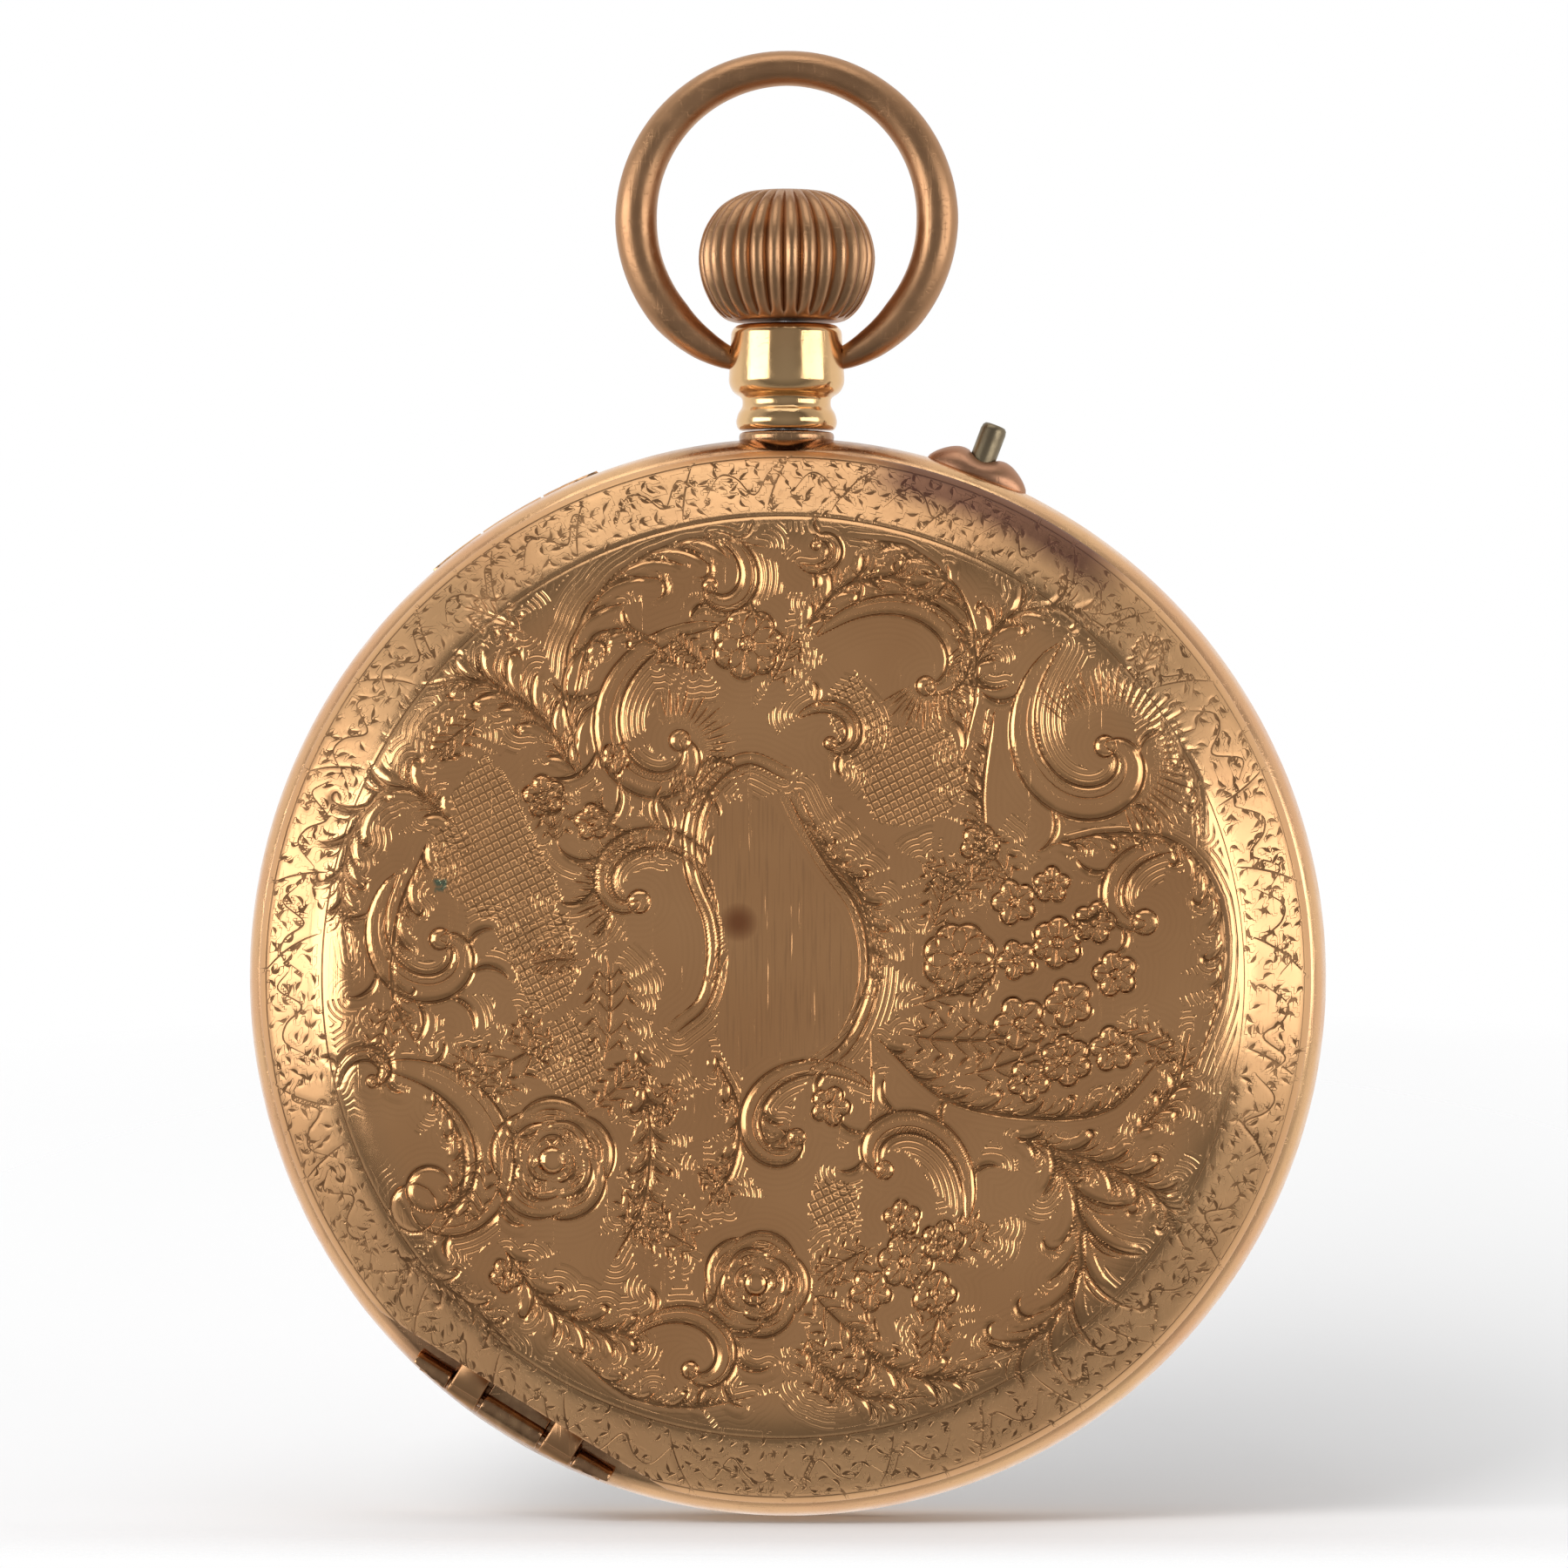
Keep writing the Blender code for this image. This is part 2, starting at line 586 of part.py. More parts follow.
def make_screws():
    """The screws that hold the bridges, cocks, wheels and movement."""
    for i, centre in enumerate(BARREL_SCREWS):
        screw(f"barrel_bridge_screw_{i + 1}", centre, 0.85, 1.4, 0.35, 5.4)
    for i, centre in enumerate(TRAIN_SCREWS):
        screw(f"train_bridge_screw_{i + 1}", centre, 0.85, 1.4, 0.35, 5.4)
    for i, centre in enumerate(CASE_SCREWS):
        screw(f"case_screw_{i + 1}", centre, 1.05, 4.1, 0.35, 5.6)
    screw("balance_cock_screw", COCK_FOOT, 0.85, 1.15, 0.35, 5.4)
    screw("pallet_cock_screw", PALLET_FOOT, 0.6, 2.7, 0.3, 5.4)
    screw("crown_wheel_screw", CROWN_WHEEL, 1.1, 1.2, 0.32, 2.4)
    screw("ratchet_screw", BARREL, 1.0, 1.2, 0.25, 1.56)
    screw("click_screw", CLICK, 0.6, 1.12, 0.3, 2.4)


# ---------------------------------------------------------------- winding and setting

def make_stem():
    """The winding stem and the two pinions on it."""
    stem = turned(
        [(0, 10.25), (STEM_RADIUS, 10.25), (STEM_RADIUS, 25.9), (0, 25.9)], 12, (0, STEM_Y, 0), "Z")
    finish(stem, "winding_stem", "steel", (0, STEM_Y, 12.0))
    stand = Matrix.Translation((0, STEM_Y, 0)) @ Matrix.Rotation(math.pi / 2, 4, "X")
    bore = circle(CENTER, 0.52)
    winding = slab(toothed(CENTER, 14, 1.75, 1.35), 12.6, 13.7, [bore])
    winding.data.transform(stand)
    finish(winding, "winding_pinion", "steel", (0, STEM_Y, 13.1))
    profile = [
        (0.52, 10.9), (1.25, 10.9), (1.25, 11.4), (0.85, 11.4), (0.85, 12.0), (1.25, 12.0),
        (1.25, 12.5), (0.52, 12.5),
    ]
    sliding = turned(profile, 16, (0, STEM_Y, 0), "Z")
    finish(sliding, "sliding_pinion", "steel", (0, STEM_Y, 11.7))


def make_winding_wheels():
    """The crown wheel, the ratchet wheel, the click and its spring."""
    holes = [circle(CROWN_WHEEL, 0.42)]
    crown = slab(toothed(CROWN_WHEEL, 28, 2.98, 2.6), WINDING_BACK, WINDING_FRONT, holes)
    finish(crown, "crown_wheel", "steel", (CROWN_WHEEL[0], WINDING_BACK, CROWN_WHEEL[1]))
    holes = [circle(BARREL, 0.62)]
    ratchet = slab(toothed(BARREL, 38, 4.02, 3.65), WINDING_BACK, WINDING_FRONT, holes)
    finish(ratchet, "ratchet_wheel", "steel", (BARREL[0], WINDING_BACK, BARREL[1]))
    beak = math.atan2(BARREL[1] - CLICK[1], BARREL[0] - CLICK[0])
    tip = (CLICK[0] + 2.5 * math.cos(beak + 0.35), CLICK[1] + 2.5 * math.sin(beak + 0.35))
    click = slab(capsule(CLICK, tip, 0.85, 0.16), 1.46, 1.71, [circle(CLICK, 0.36)])
    finish(click, "click", "steel", (CLICK[0], 1.46, CLICK[1]))
    outer = circle(BARREL, 7.3, 10, -20, 12)
    inner = circle(BARREL, 7.15, 10, 12, -20)
    end = math.radians(-20)
    foot = circle((BARREL[0] + 7.22 * math.cos(end), BARREL[1] + 7.22 * math.sin(end)), 0.4, 10)
    spring = join(slab(outer + inner, 1.46, 1.7), slab(foot, 1.4, 1.71))
    finish(spring, "click_spring", "steel")


def make_setting_parts():
    """The lever that the setting pin pushes, and the wheel that it engages."""
    push = (5.62, 14.72)
    tip = (1.05, 11.7)
    lever = slab(capsule(SETTING_LEVER, tip, 0.75, 0.2), 3.95, 4.3, [circle(SETTING_LEVER, 0.3, 8)])
    lever = join(lever, slab(capsule(SETTING_LEVER, push, 0.6, 0.35), 3.97, 4.28))
    lever = cut(lever, rod(0.3, 3.0, 5.0, SETTING_LEVER, 8))
    finish(lever, "setting_lever", "steel", (SETTING_LEVER[0], STEM_Y, SETTING_LEVER[1]))
    wheel = slab(
        toothed(SETTING_WHEEL, 40, 2.6, 2.35), MOTION_BACK, 6.05,
        [circle(SETTING_WHEEL, 0.4)],
    )
    finish(wheel, "setting_wheel", "steel", (SETTING_WHEEL[0], MOTION_BACK, SETTING_WHEEL[1]))


# ---------------------------------------------------------------- power and train

def make_barrel():
    """The mainspring's drum with its teeth, its cover, its arbor and the spring."""
    pivot = (BARREL[0], 3.0, BARREL[1])
    drum = slab(toothed(BARREL, 72, 6.1, 5.8), 3.95, 4.2, [circle(BARREL, 0.7)])
    wall = turned([(5.2, 3.0), (5.5, 3.0), (5.5, 4.05), (5.2, 4.05)], 24, (BARREL[0], 0, BARREL[1]))
    finish(join(drum, wall), "barrel", "gilt_brass", pivot)
    cover = slab(circle(BARREL, 5.1, 24), 3.02, 3.17, [circle(BARREL, 0.72)])
    finish(cover, "barrel_cover", "gilt_brass", pivot)
    profile = [
        (0, 1.6), (0.55, 1.6), (0.55, 3.22), (1.1, 3.22), (1.1, 3.85), (0.45, 3.85),
        (0.45, 5.3), (0, 5.3),
    ]
    arbor = turned(profile, 12, (BARREL[0], 0, BARREL[1]))
    finish(arbor, "barrel_arbor", "steel", pivot)
    spring = slab(spiral(BARREL, 1.45, 4.9, 5, 0.16, 10), 3.25, 3.85)
    finish(spring, "mainspring", "blued_steel", pivot)


def make_wheel(name, centre, wheel, pinion, arbor, material="gilt_brass"):
    """A spoked wheel with its pinion and arbor, all one body.

    wheel is (teeth, tip, back, front), pinion is (leaves, tip, back, front) and arbor is a
    list of (radius, y) from its back end to its front end.
    """
    teeth, tip, back, front = wheel
    rim = tip * 0.93
    hub = max(0.75, pinion[1] + 0.15)
    holes = windows(centre, 4, hub, rim - 0.45, 0.42)
    body = slab(toothed(centre, teeth, tip, rim), back, front, holes)
    leaves, leaf_tip, pinion_back, pinion_front = pinion
    leaf = slab(toothed(centre, leaves, leaf_tip, leaf_tip * 0.7), pinion_back, pinion_front)
    profile = [(0, arbor[0][1]), *arbor, (0, arbor[-1][1])]
    shaft = turned(profile, 10, (centre[0], 0, centre[1]))
    finish(join(shaft, body, leaf), name, material, (centre[0], back, centre[1]))


def make_train():
    """The centre, third, fourth and escape wheels."""
    make_wheel(
        "center_wheel", CENTER, (64, 4.78, 2.6, 2.82), (12, 1.0, 3.9, 4.3),
        [(0.3, 1.9), (0.3, 8.1)])
    make_wheel(
        "third_wheel", THIRD, (60, 4.16, 3.35, 3.53), (8, 0.58, 2.56, 2.9),
        [(0.2, 2.0), (0.2, 5.4)])
    make_wheel(
        "fourth_wheel", FOURTH, (60, 3.88, 2.92, 3.08), (8, 0.55, 3.3, 3.6),
        [(0.2, 2.0), (0.2, 7.05)])
    holes = windows(ESCAPE, 4, 0.7, 1.4, 0.35)
    wheel = slab(toothed(ESCAPE, 15, 2.0, 1.6, 0.06), 3.62, 3.8, holes)
    leaf = slab(toothed(ESCAPE, 6, 0.37, 0.26, 0.18), 2.88, 3.14)
    shaft = rod(0.18, 2.0, 5.4, ESCAPE, 10)
    finish(join(shaft, wheel, leaf), "escape_wheel", "steel", (ESCAPE[0], 3.62, ESCAPE[1]))


def make_pallet_fork():
    """The lever between the escape wheel and the balance."""
    along = Vector((BALANCE[0] - ESCAPE[0], BALANCE[1] - ESCAPE[1])).normalized()
    across = Vector((-along.y, along.x))
    pivot = Vector(PALLET)

    def spot(forward, side):
        point = pivot + along * forward + across * side
        return (point.x, point.y)

    half = [
        (3.55, 0.45), (3.55, 0.2), (3.1, 0.12), (3.0, 0.3), (0.6, 0.2), (0.35, 0.6),
        (0.05, 1.5), (-0.62, 1.95), (-0.95, 1.65), (-0.35, 1.2), (-0.4, 0.5),
    ]
    outline = [spot(f, s) for f, s in half[1:]] + [spot(f, -s) for f, s in half[::-1][:-1]]
    fork = slab(outline, 3.62, 3.8)
    shaft = rod(0.2, 3.1, 5.2, PALLET, 10)
    finish(join(shaft, fork), "pallet_fork", "steel", (PALLET[0], 3.62, PALLET[1]))


def make_balance():
    """The balance wheel, its hairspring, endstone and regulator."""
    holes = windows(BALANCE, 2, 0.7, 3.65, 0.7, 12)
    rim = slab(circle(BALANCE, 4.1, 30), 2.46, 2.86, holes)
    roller = rod(0.55, 3.45, 3.58, BALANCE)
    shaft = rod(0.22, 1.62, 5.3, BALANCE, 10)
    wheel = join(shaft, rim, roller)
    finish(wheel, "balance_wheel", "gilt_brass", (BALANCE[0], 2.6, BALANCE[1]))
    hairspring = slab(spiral(BALANCE, 0.55, 2.9, 4, 0.07, 12), 2.16, 2.32)
    finish(hairspring, "hairspring", "blued_steel", (BALANCE[0], 2.2, BALANCE[1]))
    stone = rod(0.55, 1.22, 1.47, BALANCE, 16)
    finish(stone, "balance_endstone", "jewel", (BALANCE[0], 1.22, BALANCE[1]))
    pointer = math.radians(205)
    end = (BALANCE[0] + 3.6 * math.cos(pointer), BALANCE[1] + 3.6 * math.sin(pointer))
    arm = slab(capsule(BALANCE, end, 1.15, 0.12), 1.22, 1.42, [circle(BALANCE, 0.68, 16)])
    finish(arm, "regulator", "steel", (BALANCE[0], 1.22, BALANCE[1]))


# ---------------------------------------------------------------- dial side

def make_motion_work():
    """The cannon pinion, minute wheel and hour wheel, which give the hands 12 to 1."""
    leaf = slab(toothed(CENTER, 10, 0.64, 0.48, 0.18), MOTION_BACK, 6.03)
    tube = rod(0.5, 5.95, 7.95, CENTER, 16)
    cannon = cut(join(leaf, tube), rod(0.36, 5.0, 9.0, CENTER, 16))
    finish(cannon, "cannon_pinion", "steel", (0, MOTION_BACK, 0))
    wheel = slab(toothed(MINUTE_WHEEL, 30, 1.94, 1.75), MOTION_BACK, 6.03)
    leaf = slab(toothed(MINUTE_WHEEL, 8, 0.54, 0.4, 0.18), 5.95, 6.33)
    minute = cut(join(wheel, leaf), rod(0.35, 5.0, 7.0, MINUTE_WHEEL))
    finish(minute, "minute_wheel", "gilt_brass", (MINUTE_WHEEL[0], MOTION_BACK, MINUTE_WHEEL[1]))
    wheel = slab(toothed(CENTER, 32, 2.0, 1.82), 6.12, 6.3)
    tube = rod(0.95, 6.2, 7.5, CENTER, 16)
    hour = cut(join(wheel, tube), rod(0.62, 5.0, 9.0, CENTER, 16))
    finish(hour, "hour_wheel", "gilt_brass", (0, 6.12, 0))


def make_dial():
    """The dial, with holes for the hour wheel's tube and the seconds arbor."""
    holes = [circle(CENTER, 1.15, 16), circle(FOURTH, 0.4, 10)]
    finish(slab(circle(CENTER, DIAL_RADIUS, RIM_SEGMENTS), DIAL_BACK, DIAL_FRONT, holes), "dial", "enamel")


def hand(name, centre, length, hub, bore, low, high):
    """A hand pointing to 12, with a swelling near its end and a round hub."""
    around = circle(centre, hub, 16, 80, -260)
    x, z = centre
    outline = around + [
        (x - 0.2, z + hub + 0.3), (x - 0.2, z + 0.5 * length), (x - 0.55, z + 0.62 * length),
        (x, z + length), (x + 0.55, z + 0.62 * length), (x + 0.2, z + 0.5 * length),
        (x + 0.2, z + hub + 0.3),
    ]
    blade = slab(outline, low, high, [circle(centre, bore, 16)])
    finish(blade, name, "blued_steel", (x, low, z))


def make_hands():
    """Hour, minute and small seconds hands."""
    hand("hour_hand", CENTER, 8.2, 1.6, 1.02, 7.3, 7.48)
    hand("minute_hand", CENTER, 12.6, 1.1, 0.56, 7.75, 7.93)
    hub = circle(FOURTH, 0.45, 12, 75, -255)
    needle = hub + [(-0.06, -7.3), (-0.06, -4.9), (0.06, -4.9), (0.06, -7.3)]
    second = slab(needle, 6.98, 7.1, [circle(FOURTH, 0.26, 10)])
    finish(second, "second_hand", "blued_steel", (FOURTH[0], 6.98, FOURTH[1]))


clear_scene()
FINISHES = make_materials()
make_case_middle()
make_pendant()
make_bow()
make_crown()
make_back_cover()
make_cuvette()
make_bezel()
make_crystal()
make_hinge_pins()
make_setting_pin()
make_olivette()
make_main_plate()
make_barrel_bridge()
make_train_bridge()
make_cocks()
make_screws()
make_stem()
make_winding_wheels()
make_setting_parts()
make_barrel()
make_train()
make_pallet_fork()
make_balance()
make_motion_work()
make_dial()
make_hands()
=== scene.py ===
"""Looks of an open face pocket watch: engraved gold case, ribbed crown, enamel dial, gilt movement.

Lengths are in millimetres up to mesh_object(), which makes metres of them. The back of the watch
faces -Y, the crown points to +Z, and the case is centred on the Y axis.
"""

import json
import math

import bmesh
import bpy
import numpy as np
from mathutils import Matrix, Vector


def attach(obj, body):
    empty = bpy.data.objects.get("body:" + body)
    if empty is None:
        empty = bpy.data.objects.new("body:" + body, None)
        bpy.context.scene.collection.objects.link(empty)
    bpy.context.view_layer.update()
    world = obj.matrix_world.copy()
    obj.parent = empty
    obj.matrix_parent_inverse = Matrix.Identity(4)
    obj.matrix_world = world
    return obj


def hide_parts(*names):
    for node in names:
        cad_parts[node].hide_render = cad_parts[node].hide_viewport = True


MM = 0.001
STEM_Y = 4.1            # depth of the winding stem's axis
BACK_HINGE = (211.6, 18.3, 2.5)   # turn from the crown in degrees, radius, depth
BEZEL_HINGE = (-31.0, 18.75, 6.05)
PIN_TURN = 20.8         # the setting pin, from the crown
KNUCKLE_RADIUS = 0.48
FLOOR_Z = -19.2
FRAME_WIDTH = 54.6      # what the camera takes in at the back cover
rng = np.random.default_rng(7)

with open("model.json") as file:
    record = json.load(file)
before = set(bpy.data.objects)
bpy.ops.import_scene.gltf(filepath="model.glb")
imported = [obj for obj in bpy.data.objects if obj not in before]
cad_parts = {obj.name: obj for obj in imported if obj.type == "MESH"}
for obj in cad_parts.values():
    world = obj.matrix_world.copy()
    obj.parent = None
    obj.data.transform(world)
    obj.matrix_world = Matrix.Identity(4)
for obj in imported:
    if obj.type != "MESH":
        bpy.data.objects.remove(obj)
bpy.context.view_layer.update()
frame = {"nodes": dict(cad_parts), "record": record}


# ---------------------------------------------------------------- mesh helpers

def grid_faces(rows, columns, wrap_rows=False, wrap_columns=True, first=0):
    """Quads of a grid of points, row by row."""
    row_steps = rows if wrap_rows else rows - 1
    column_steps = columns if wrap_columns else columns - 1
    row, column = np.meshgrid(np.arange(row_steps), np.arange(column_steps), indexing="ij")
    row_after = (row + 1) % rows
    column_after = (column + 1) % columns
    quads = np.stack([row * columns + column, row * columns + column_after,
                      row_after * columns + column_after, row_after * columns + column], -1)
    return (quads.reshape(-1, 4) + first).tolist()


def rounded(profile, radius, steps=4, closed=False):
    """A polyline with its corners turned into small curves."""
    points = [np.array(p, float) for p in profile]
    count = len(points)
    out = []
    for i, here in enumerate(points):
        if not closed and i in (0, count - 1):
            out.append(here)
            continue
        before, after = points[i - 1], points[(i + 1) % count]
        back, ahead = before - here, after - here
        reach = min(radius, 0.45 * np.linalg.norm(back), 0.45 * np.linalg.norm(ahead))
        start = here + back / np.linalg.norm(back) * reach
        end = here + ahead / np.linalg.norm(ahead) * reach
        for k in range(steps + 1):
            t = k / steps
            out.append((1 - t) ** 2 * start + 2 * t * (1 - t) * here + t * t * end)
    return np.array(out)


def smooth_path(points, per_span=12):
    """Catmull-Rom curve through a few points."""
    p = np.array(points, float)
    p = np.vstack([2 * p[0] - p[1], p, 2 * p[-1] - p[-2]])
    out = []
    for i in range(1, len(p) - 2):
        for t in np.arange(per_span) / per_span:
            out.append(0.5 * (2 * p[i] + (p[i + 1] - p[i - 1]) * t
                              + (2 * p[i - 1] - 5 * p[i] + 4 * p[i + 1] - p[i + 2]) * t ** 2
                              + (3 * p[i] - p[i - 1] - 3 * p[i + 1] + p[i + 2]) * t ** 3))
    out.append(p[-2])
    return np.array(out)


def spun(profile, segments, axis="y", centre=(0, 0, 0), shape=None):
    """Points and faces of a profile of (radius, height) turned about an axis.

    A profile that starts and ends on the axis closes there; any other is taken as a closed loop.
    shape(radius, height, angle) may change the radius.
    """
    profile = np.array(profile, float)
    capped = profile[0][0] == 0 and profile[-1][0] == 0
    body = profile[1:-1] if capped else profile
    angle = np.arange(segments) * 2 * math.pi / segments
    radius = np.repeat(body[:, :1], segments, 1)
    height = np.repeat(body[:, 1:], segments, 1)
    turn = np.repeat(angle[None, :], len(body), 0)
    if shape:
        radius = shape(radius, height, turn)
    if axis == "y":
        points = np.stack([radius * np.sin(turn), height, radius * np.cos(turn)], -1)
        ends = [(0, profile[0][1], 0), (0, profile[-1][1], 0)]
    else:
        points = np.stack([radius * np.sin(turn), -radius * np.cos(turn), height], -1)
        ends = [(0, 0, profile[0][1]), (0, 0, profile[-1][1])]
    points = points.reshape(-1, 3)
    faces = grid_faces(len(body), segments, wrap_rows=not capped)
    if capped:
        first, last = len(points), len(points) + 1
        points = np.vstack([points, ends])
        base = (len(body) - 1) * segments
        for i in range(segments):
            after = (i + 1) % segments
            faces.append([first, after, i])
            faces.append([last, base + i, base + after])
    return points + np.array(centre, float), faces


def tube(path, radii, segments=24):
    """Points and faces of a capped tube along a path."""
    path = np.array(path, float)
    radii = np.broadcast_to(radii, len(path))
    ahead = np.gradient(path, axis=0)
    ahead /= np.linalg.norm(ahead, axis=1)[:, None]
    side = np.cross(ahead, (0, 1, 0))
    if np.linalg.norm(side[0]) < 1e-6:
        side = np.cross(ahead, (1, 0, 0))
    side /= np.linalg.norm(side, axis=1)[:, None]
    up = np.cross(side, ahead)
    angle = np.arange(segments) * 2 * math.pi / segments
    ring = (np.cos(angle)[None, :, None] * side[:, None, :]
            + np.sin(angle)[None, :, None] * up[:, None, :])
    points = (path[:, None, :] + radii[:, None, None] * ring).reshape(-1, 3)
    faces = grid_faces(len(path), segments)
    base = (len(path) - 1) * segments
    faces.append(list(range(segments))[::-1])
    faces.append([base + i for i in range(segments)])
    return points, faces


def joined(*parts):
    """One list of points and faces from several."""
    points, faces, count = [], [], 0
    for part_points, part_faces in parts:
        points.append(np.asarray(part_points, float))
        faces += [[i + count for i in face] for face in part_faces]
        count += len(part_points)
    return np.vstack(points), faces


def mesh_object(name, points, faces, material, sharp=40):
    """A smooth-shaded object from points in millimetres, with its faces all turned outwards."""
    mesh = bpy.data.meshes.new(name)
    mesh.from_pydata((np.asarray(points) * MM).tolist(), [], faces)
    mesh.validate()
    shell = bmesh.new()
    shell.from_mesh(mesh)
    bmesh.ops.recalc_face_normals(shell, faces=shell.faces)
    shell.to_mesh(mesh)
    shell.free()
    mesh.shade_smooth()
    mesh.set_sharp_from_angle(angle=math.radians(sharp))
    mesh.materials.append(material)
    obj = bpy.data.objects.new(name, mesh)
    bpy.context.scene.collection.objects.link(obj)
    return obj


def piece(name, shape, slot, body, *nodes, look=None, sharp=40):
    """A visible piece that rides on a body and stands for the CAD nodes that it names."""
    obj = mesh_object(name, *shape, look or MATERIALS[slot], sharp)
    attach(obj, body)
    if nodes:
        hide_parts(*nodes)
    return obj


def at_turn(hinge_turn):
    """Radial and tangent directions in the XZ plane, clockwise from the crown seen from the back."""
    a = math.radians(hinge_turn)
    return np.array([math.sin(a), 0, math.cos(a)]), np.array([math.cos(a), 0, -math.sin(a)])


def hinge_tube(hinge, start, end):
    """A knuckle about a hinge's axis from one tangent distance to another, filed to the case's curve."""
    radial, tangent = at_turn(hinge[0])
    centre = radial * hinge[1] + np.array([0, hinge[2], 0])
    soft = min(0.05, (end - start) * 0.2)
    ease = np.array([0, soft * 0.3, soft])
    lost = np.array([soft, soft * 0.4, 0])
    between = np.linspace(start + soft, end - soft, 12)[1:-1]
    places = np.concatenate([start + ease, between, (end - ease)[::-1]])
    radii = KNUCKLE_RADIUS - np.concatenate([lost, 0 * between, lost[::-1]])
    points, faces = tube(centre + places[:, None] * tangent, radii, 32)
    out = np.hypot(points[:, 0], points[:, 2])
    points[:, ::2] *= np.minimum((hinge[1] + KNUCKLE_RADIUS - 0.03) / out, 1)[:, None]
    return points, faces


def slab_at(turn, radial_span, tangent_span, y_span, soft=0.08):
    """A softened block placed by radius, tangent distance and depth."""
    radial, tangent = at_turn(turn)
    r0, r1 = radial_span
    t0, t1 = tangent_span
    y0, y1 = y_span
    outline = rounded([(r0, t0), (r1, t0), (r1, t1), (r0, t1)], soft, 3, closed=True)
    rows = [(y0, soft * 0.6), (y0 + soft * 0.5, 0.0), (y1 - soft * 0.5, 0.0), (y1, soft * 0.6)]
    middle = outline.mean(0)
    points = []
    for y, inset in rows:
        shrink = outline + (middle - outline) / np.linalg.norm(middle - outline, axis=1)[:, None] * inset
        points += [radial * r + tangent * t + np.array([0, y, 0]) for r, t in shrink]
    count = len(outline)
    faces = grid_faces(len(rows), count)
    faces.append(list(range(count))[::-1])
    faces.append([(len(rows) - 1) * count + i for i in range(count)])
    return np.array(points), faces


# ---------------------------------------------------------------- materials

class Value:
    """A node's output, with the arithmetic that the materials are written in."""

    def __init__(self, nodes, socket):
        self.nodes, self.socket = nodes, socket

    def __add__(self, other):
        return self.nodes.math("ADD", self, other)

    def __sub__(self, other):
        return self.nodes.math("SUBTRACT", self, other)

    def __rsub__(self, other):
        return self.nodes.math("SUBTRACT", other, self)

    def __mul__(self, other):
        return self.nodes.math("MULTIPLY", self, other)

    def __truediv__(self, other):
        return self.nodes.math("DIVIDE", self, other)


class Nodes:
    """A short way to write a material's nodes."""

    def __init__(self, name):
        self.material = bpy.data.materials.new(name)
        self.material.use_nodes = True
        self.tree = self.material.node_tree
        self.shader = self.tree.nodes["Principled BSDF"]
        self.place = Value(self, self.add("ShaderNodeTexCoord").outputs["Object"])

    def add(self, kind, **values):
        node = self.tree.nodes.new(kind)
        for key, value in values.items():
            if hasattr(node, key):
                setattr(node, key, value)
            else:
                self.put(node.inputs[key], value)
        return node

    def put(self, socket, value):
        if isinstance(value, Value):
            self.tree.links.new(value.socket, socket)
        elif socket.type == "RGBA" and len(value) == 3:
            socket.default_value = (*value, 1)
        else:
            socket.default_value = value

    def math(self, operation, a, b=0.0, c=0.0, clamp=False):
        node = self.add("ShaderNodeMath", operation=operation, use_clamp=clamp)
        for socket, value in zip(node.inputs, (a, b, c)):
            self.put(socket, value)
        return Value(self, node.outputs[0])

    def noise(self, scale, detail=3.0, stretch=(1, 1, 1)):
        """Noise whose scale is in cycles per millimetre."""
        mapping = self.add("ShaderNodeMapping", Scale=[s / MM for s in stretch], Vector=self.place)
        node = self.add("ShaderNodeTexNoise", Scale=scale, Detail=detail)
        self.put(node.inputs["Vector"], Value(self, mapping.outputs[0]))
        return Value(self, node.outputs["Fac"])

    def attribute(self, name):
        return Value(self, self.add("ShaderNodeAttribute", attribute_name=name).outputs["Fac"])

    def span(self, value, low, high, to_low=0.0, to_high=1.0):
        node = self.add("ShaderNodeMapRange", clamp=True)
        for socket, number in zip(node.inputs, (value, low, high, to_low, to_high)):
            self.put(socket, number)
        return Value(self, node.outputs[0])

    def mix(self, share, a, b):
        node = self.add("ShaderNodeMix", data_type="RGBA")
        for i, value in ((0, share), (6, a), (7, b)):
            self.put(node.inputs[i], value)
        return Value(self, node.outputs[2])

    def axes(self):
        """X, Y and Z in millimetres."""
        split = self.add("ShaderNodeSeparateXYZ", Vector=self.place)
        return [Value(self, split.outputs[i]) * (1 / MM) for i in range(3)]

    def bump(self, height, distance, strength=1.0, under=None):
        node = self.add("ShaderNodeBump", Strength=strength, Distance=distance * MM, Height=height)
        if under is not None:
            self.put(node.inputs["Normal"], under)
        return Value(self, node.outputs[0])

    def finish(self, colour, roughness, metallic=0.0, normal=None, **sockets):
        self.put(self.shader.inputs["Base Color"], colour)
        self.put(self.shader.inputs["Roughness"], roughness)
        self.shader.inputs["Metallic"].default_value = metallic
        if normal is not None:
            self.put(self.shader.inputs["Normal"], normal)
        for name, value in sockets.items():
            self.put(self.shader.inputs[name.replace("_", " ")], value)
        return self.material


GOLD = (0.80, 0.485, 0.245)
GOLD_ROSE = (0.74, 0.395, 0.215)
GOLD_DULL = (0.50, 0.29, 0.13)
# Painted shade with grime, laid on the gold round the back hinge and the pendant's foot.
JOINT_SHADE_AND_GRIME = (0.20, 0.095, 0.05)
GRIME = (0.075, 0.032, 0.012)
HATCH_PITCH = 0.20
LATTICE_PITCH = 0.28
LATTICE_SLANTS = (25, 117)


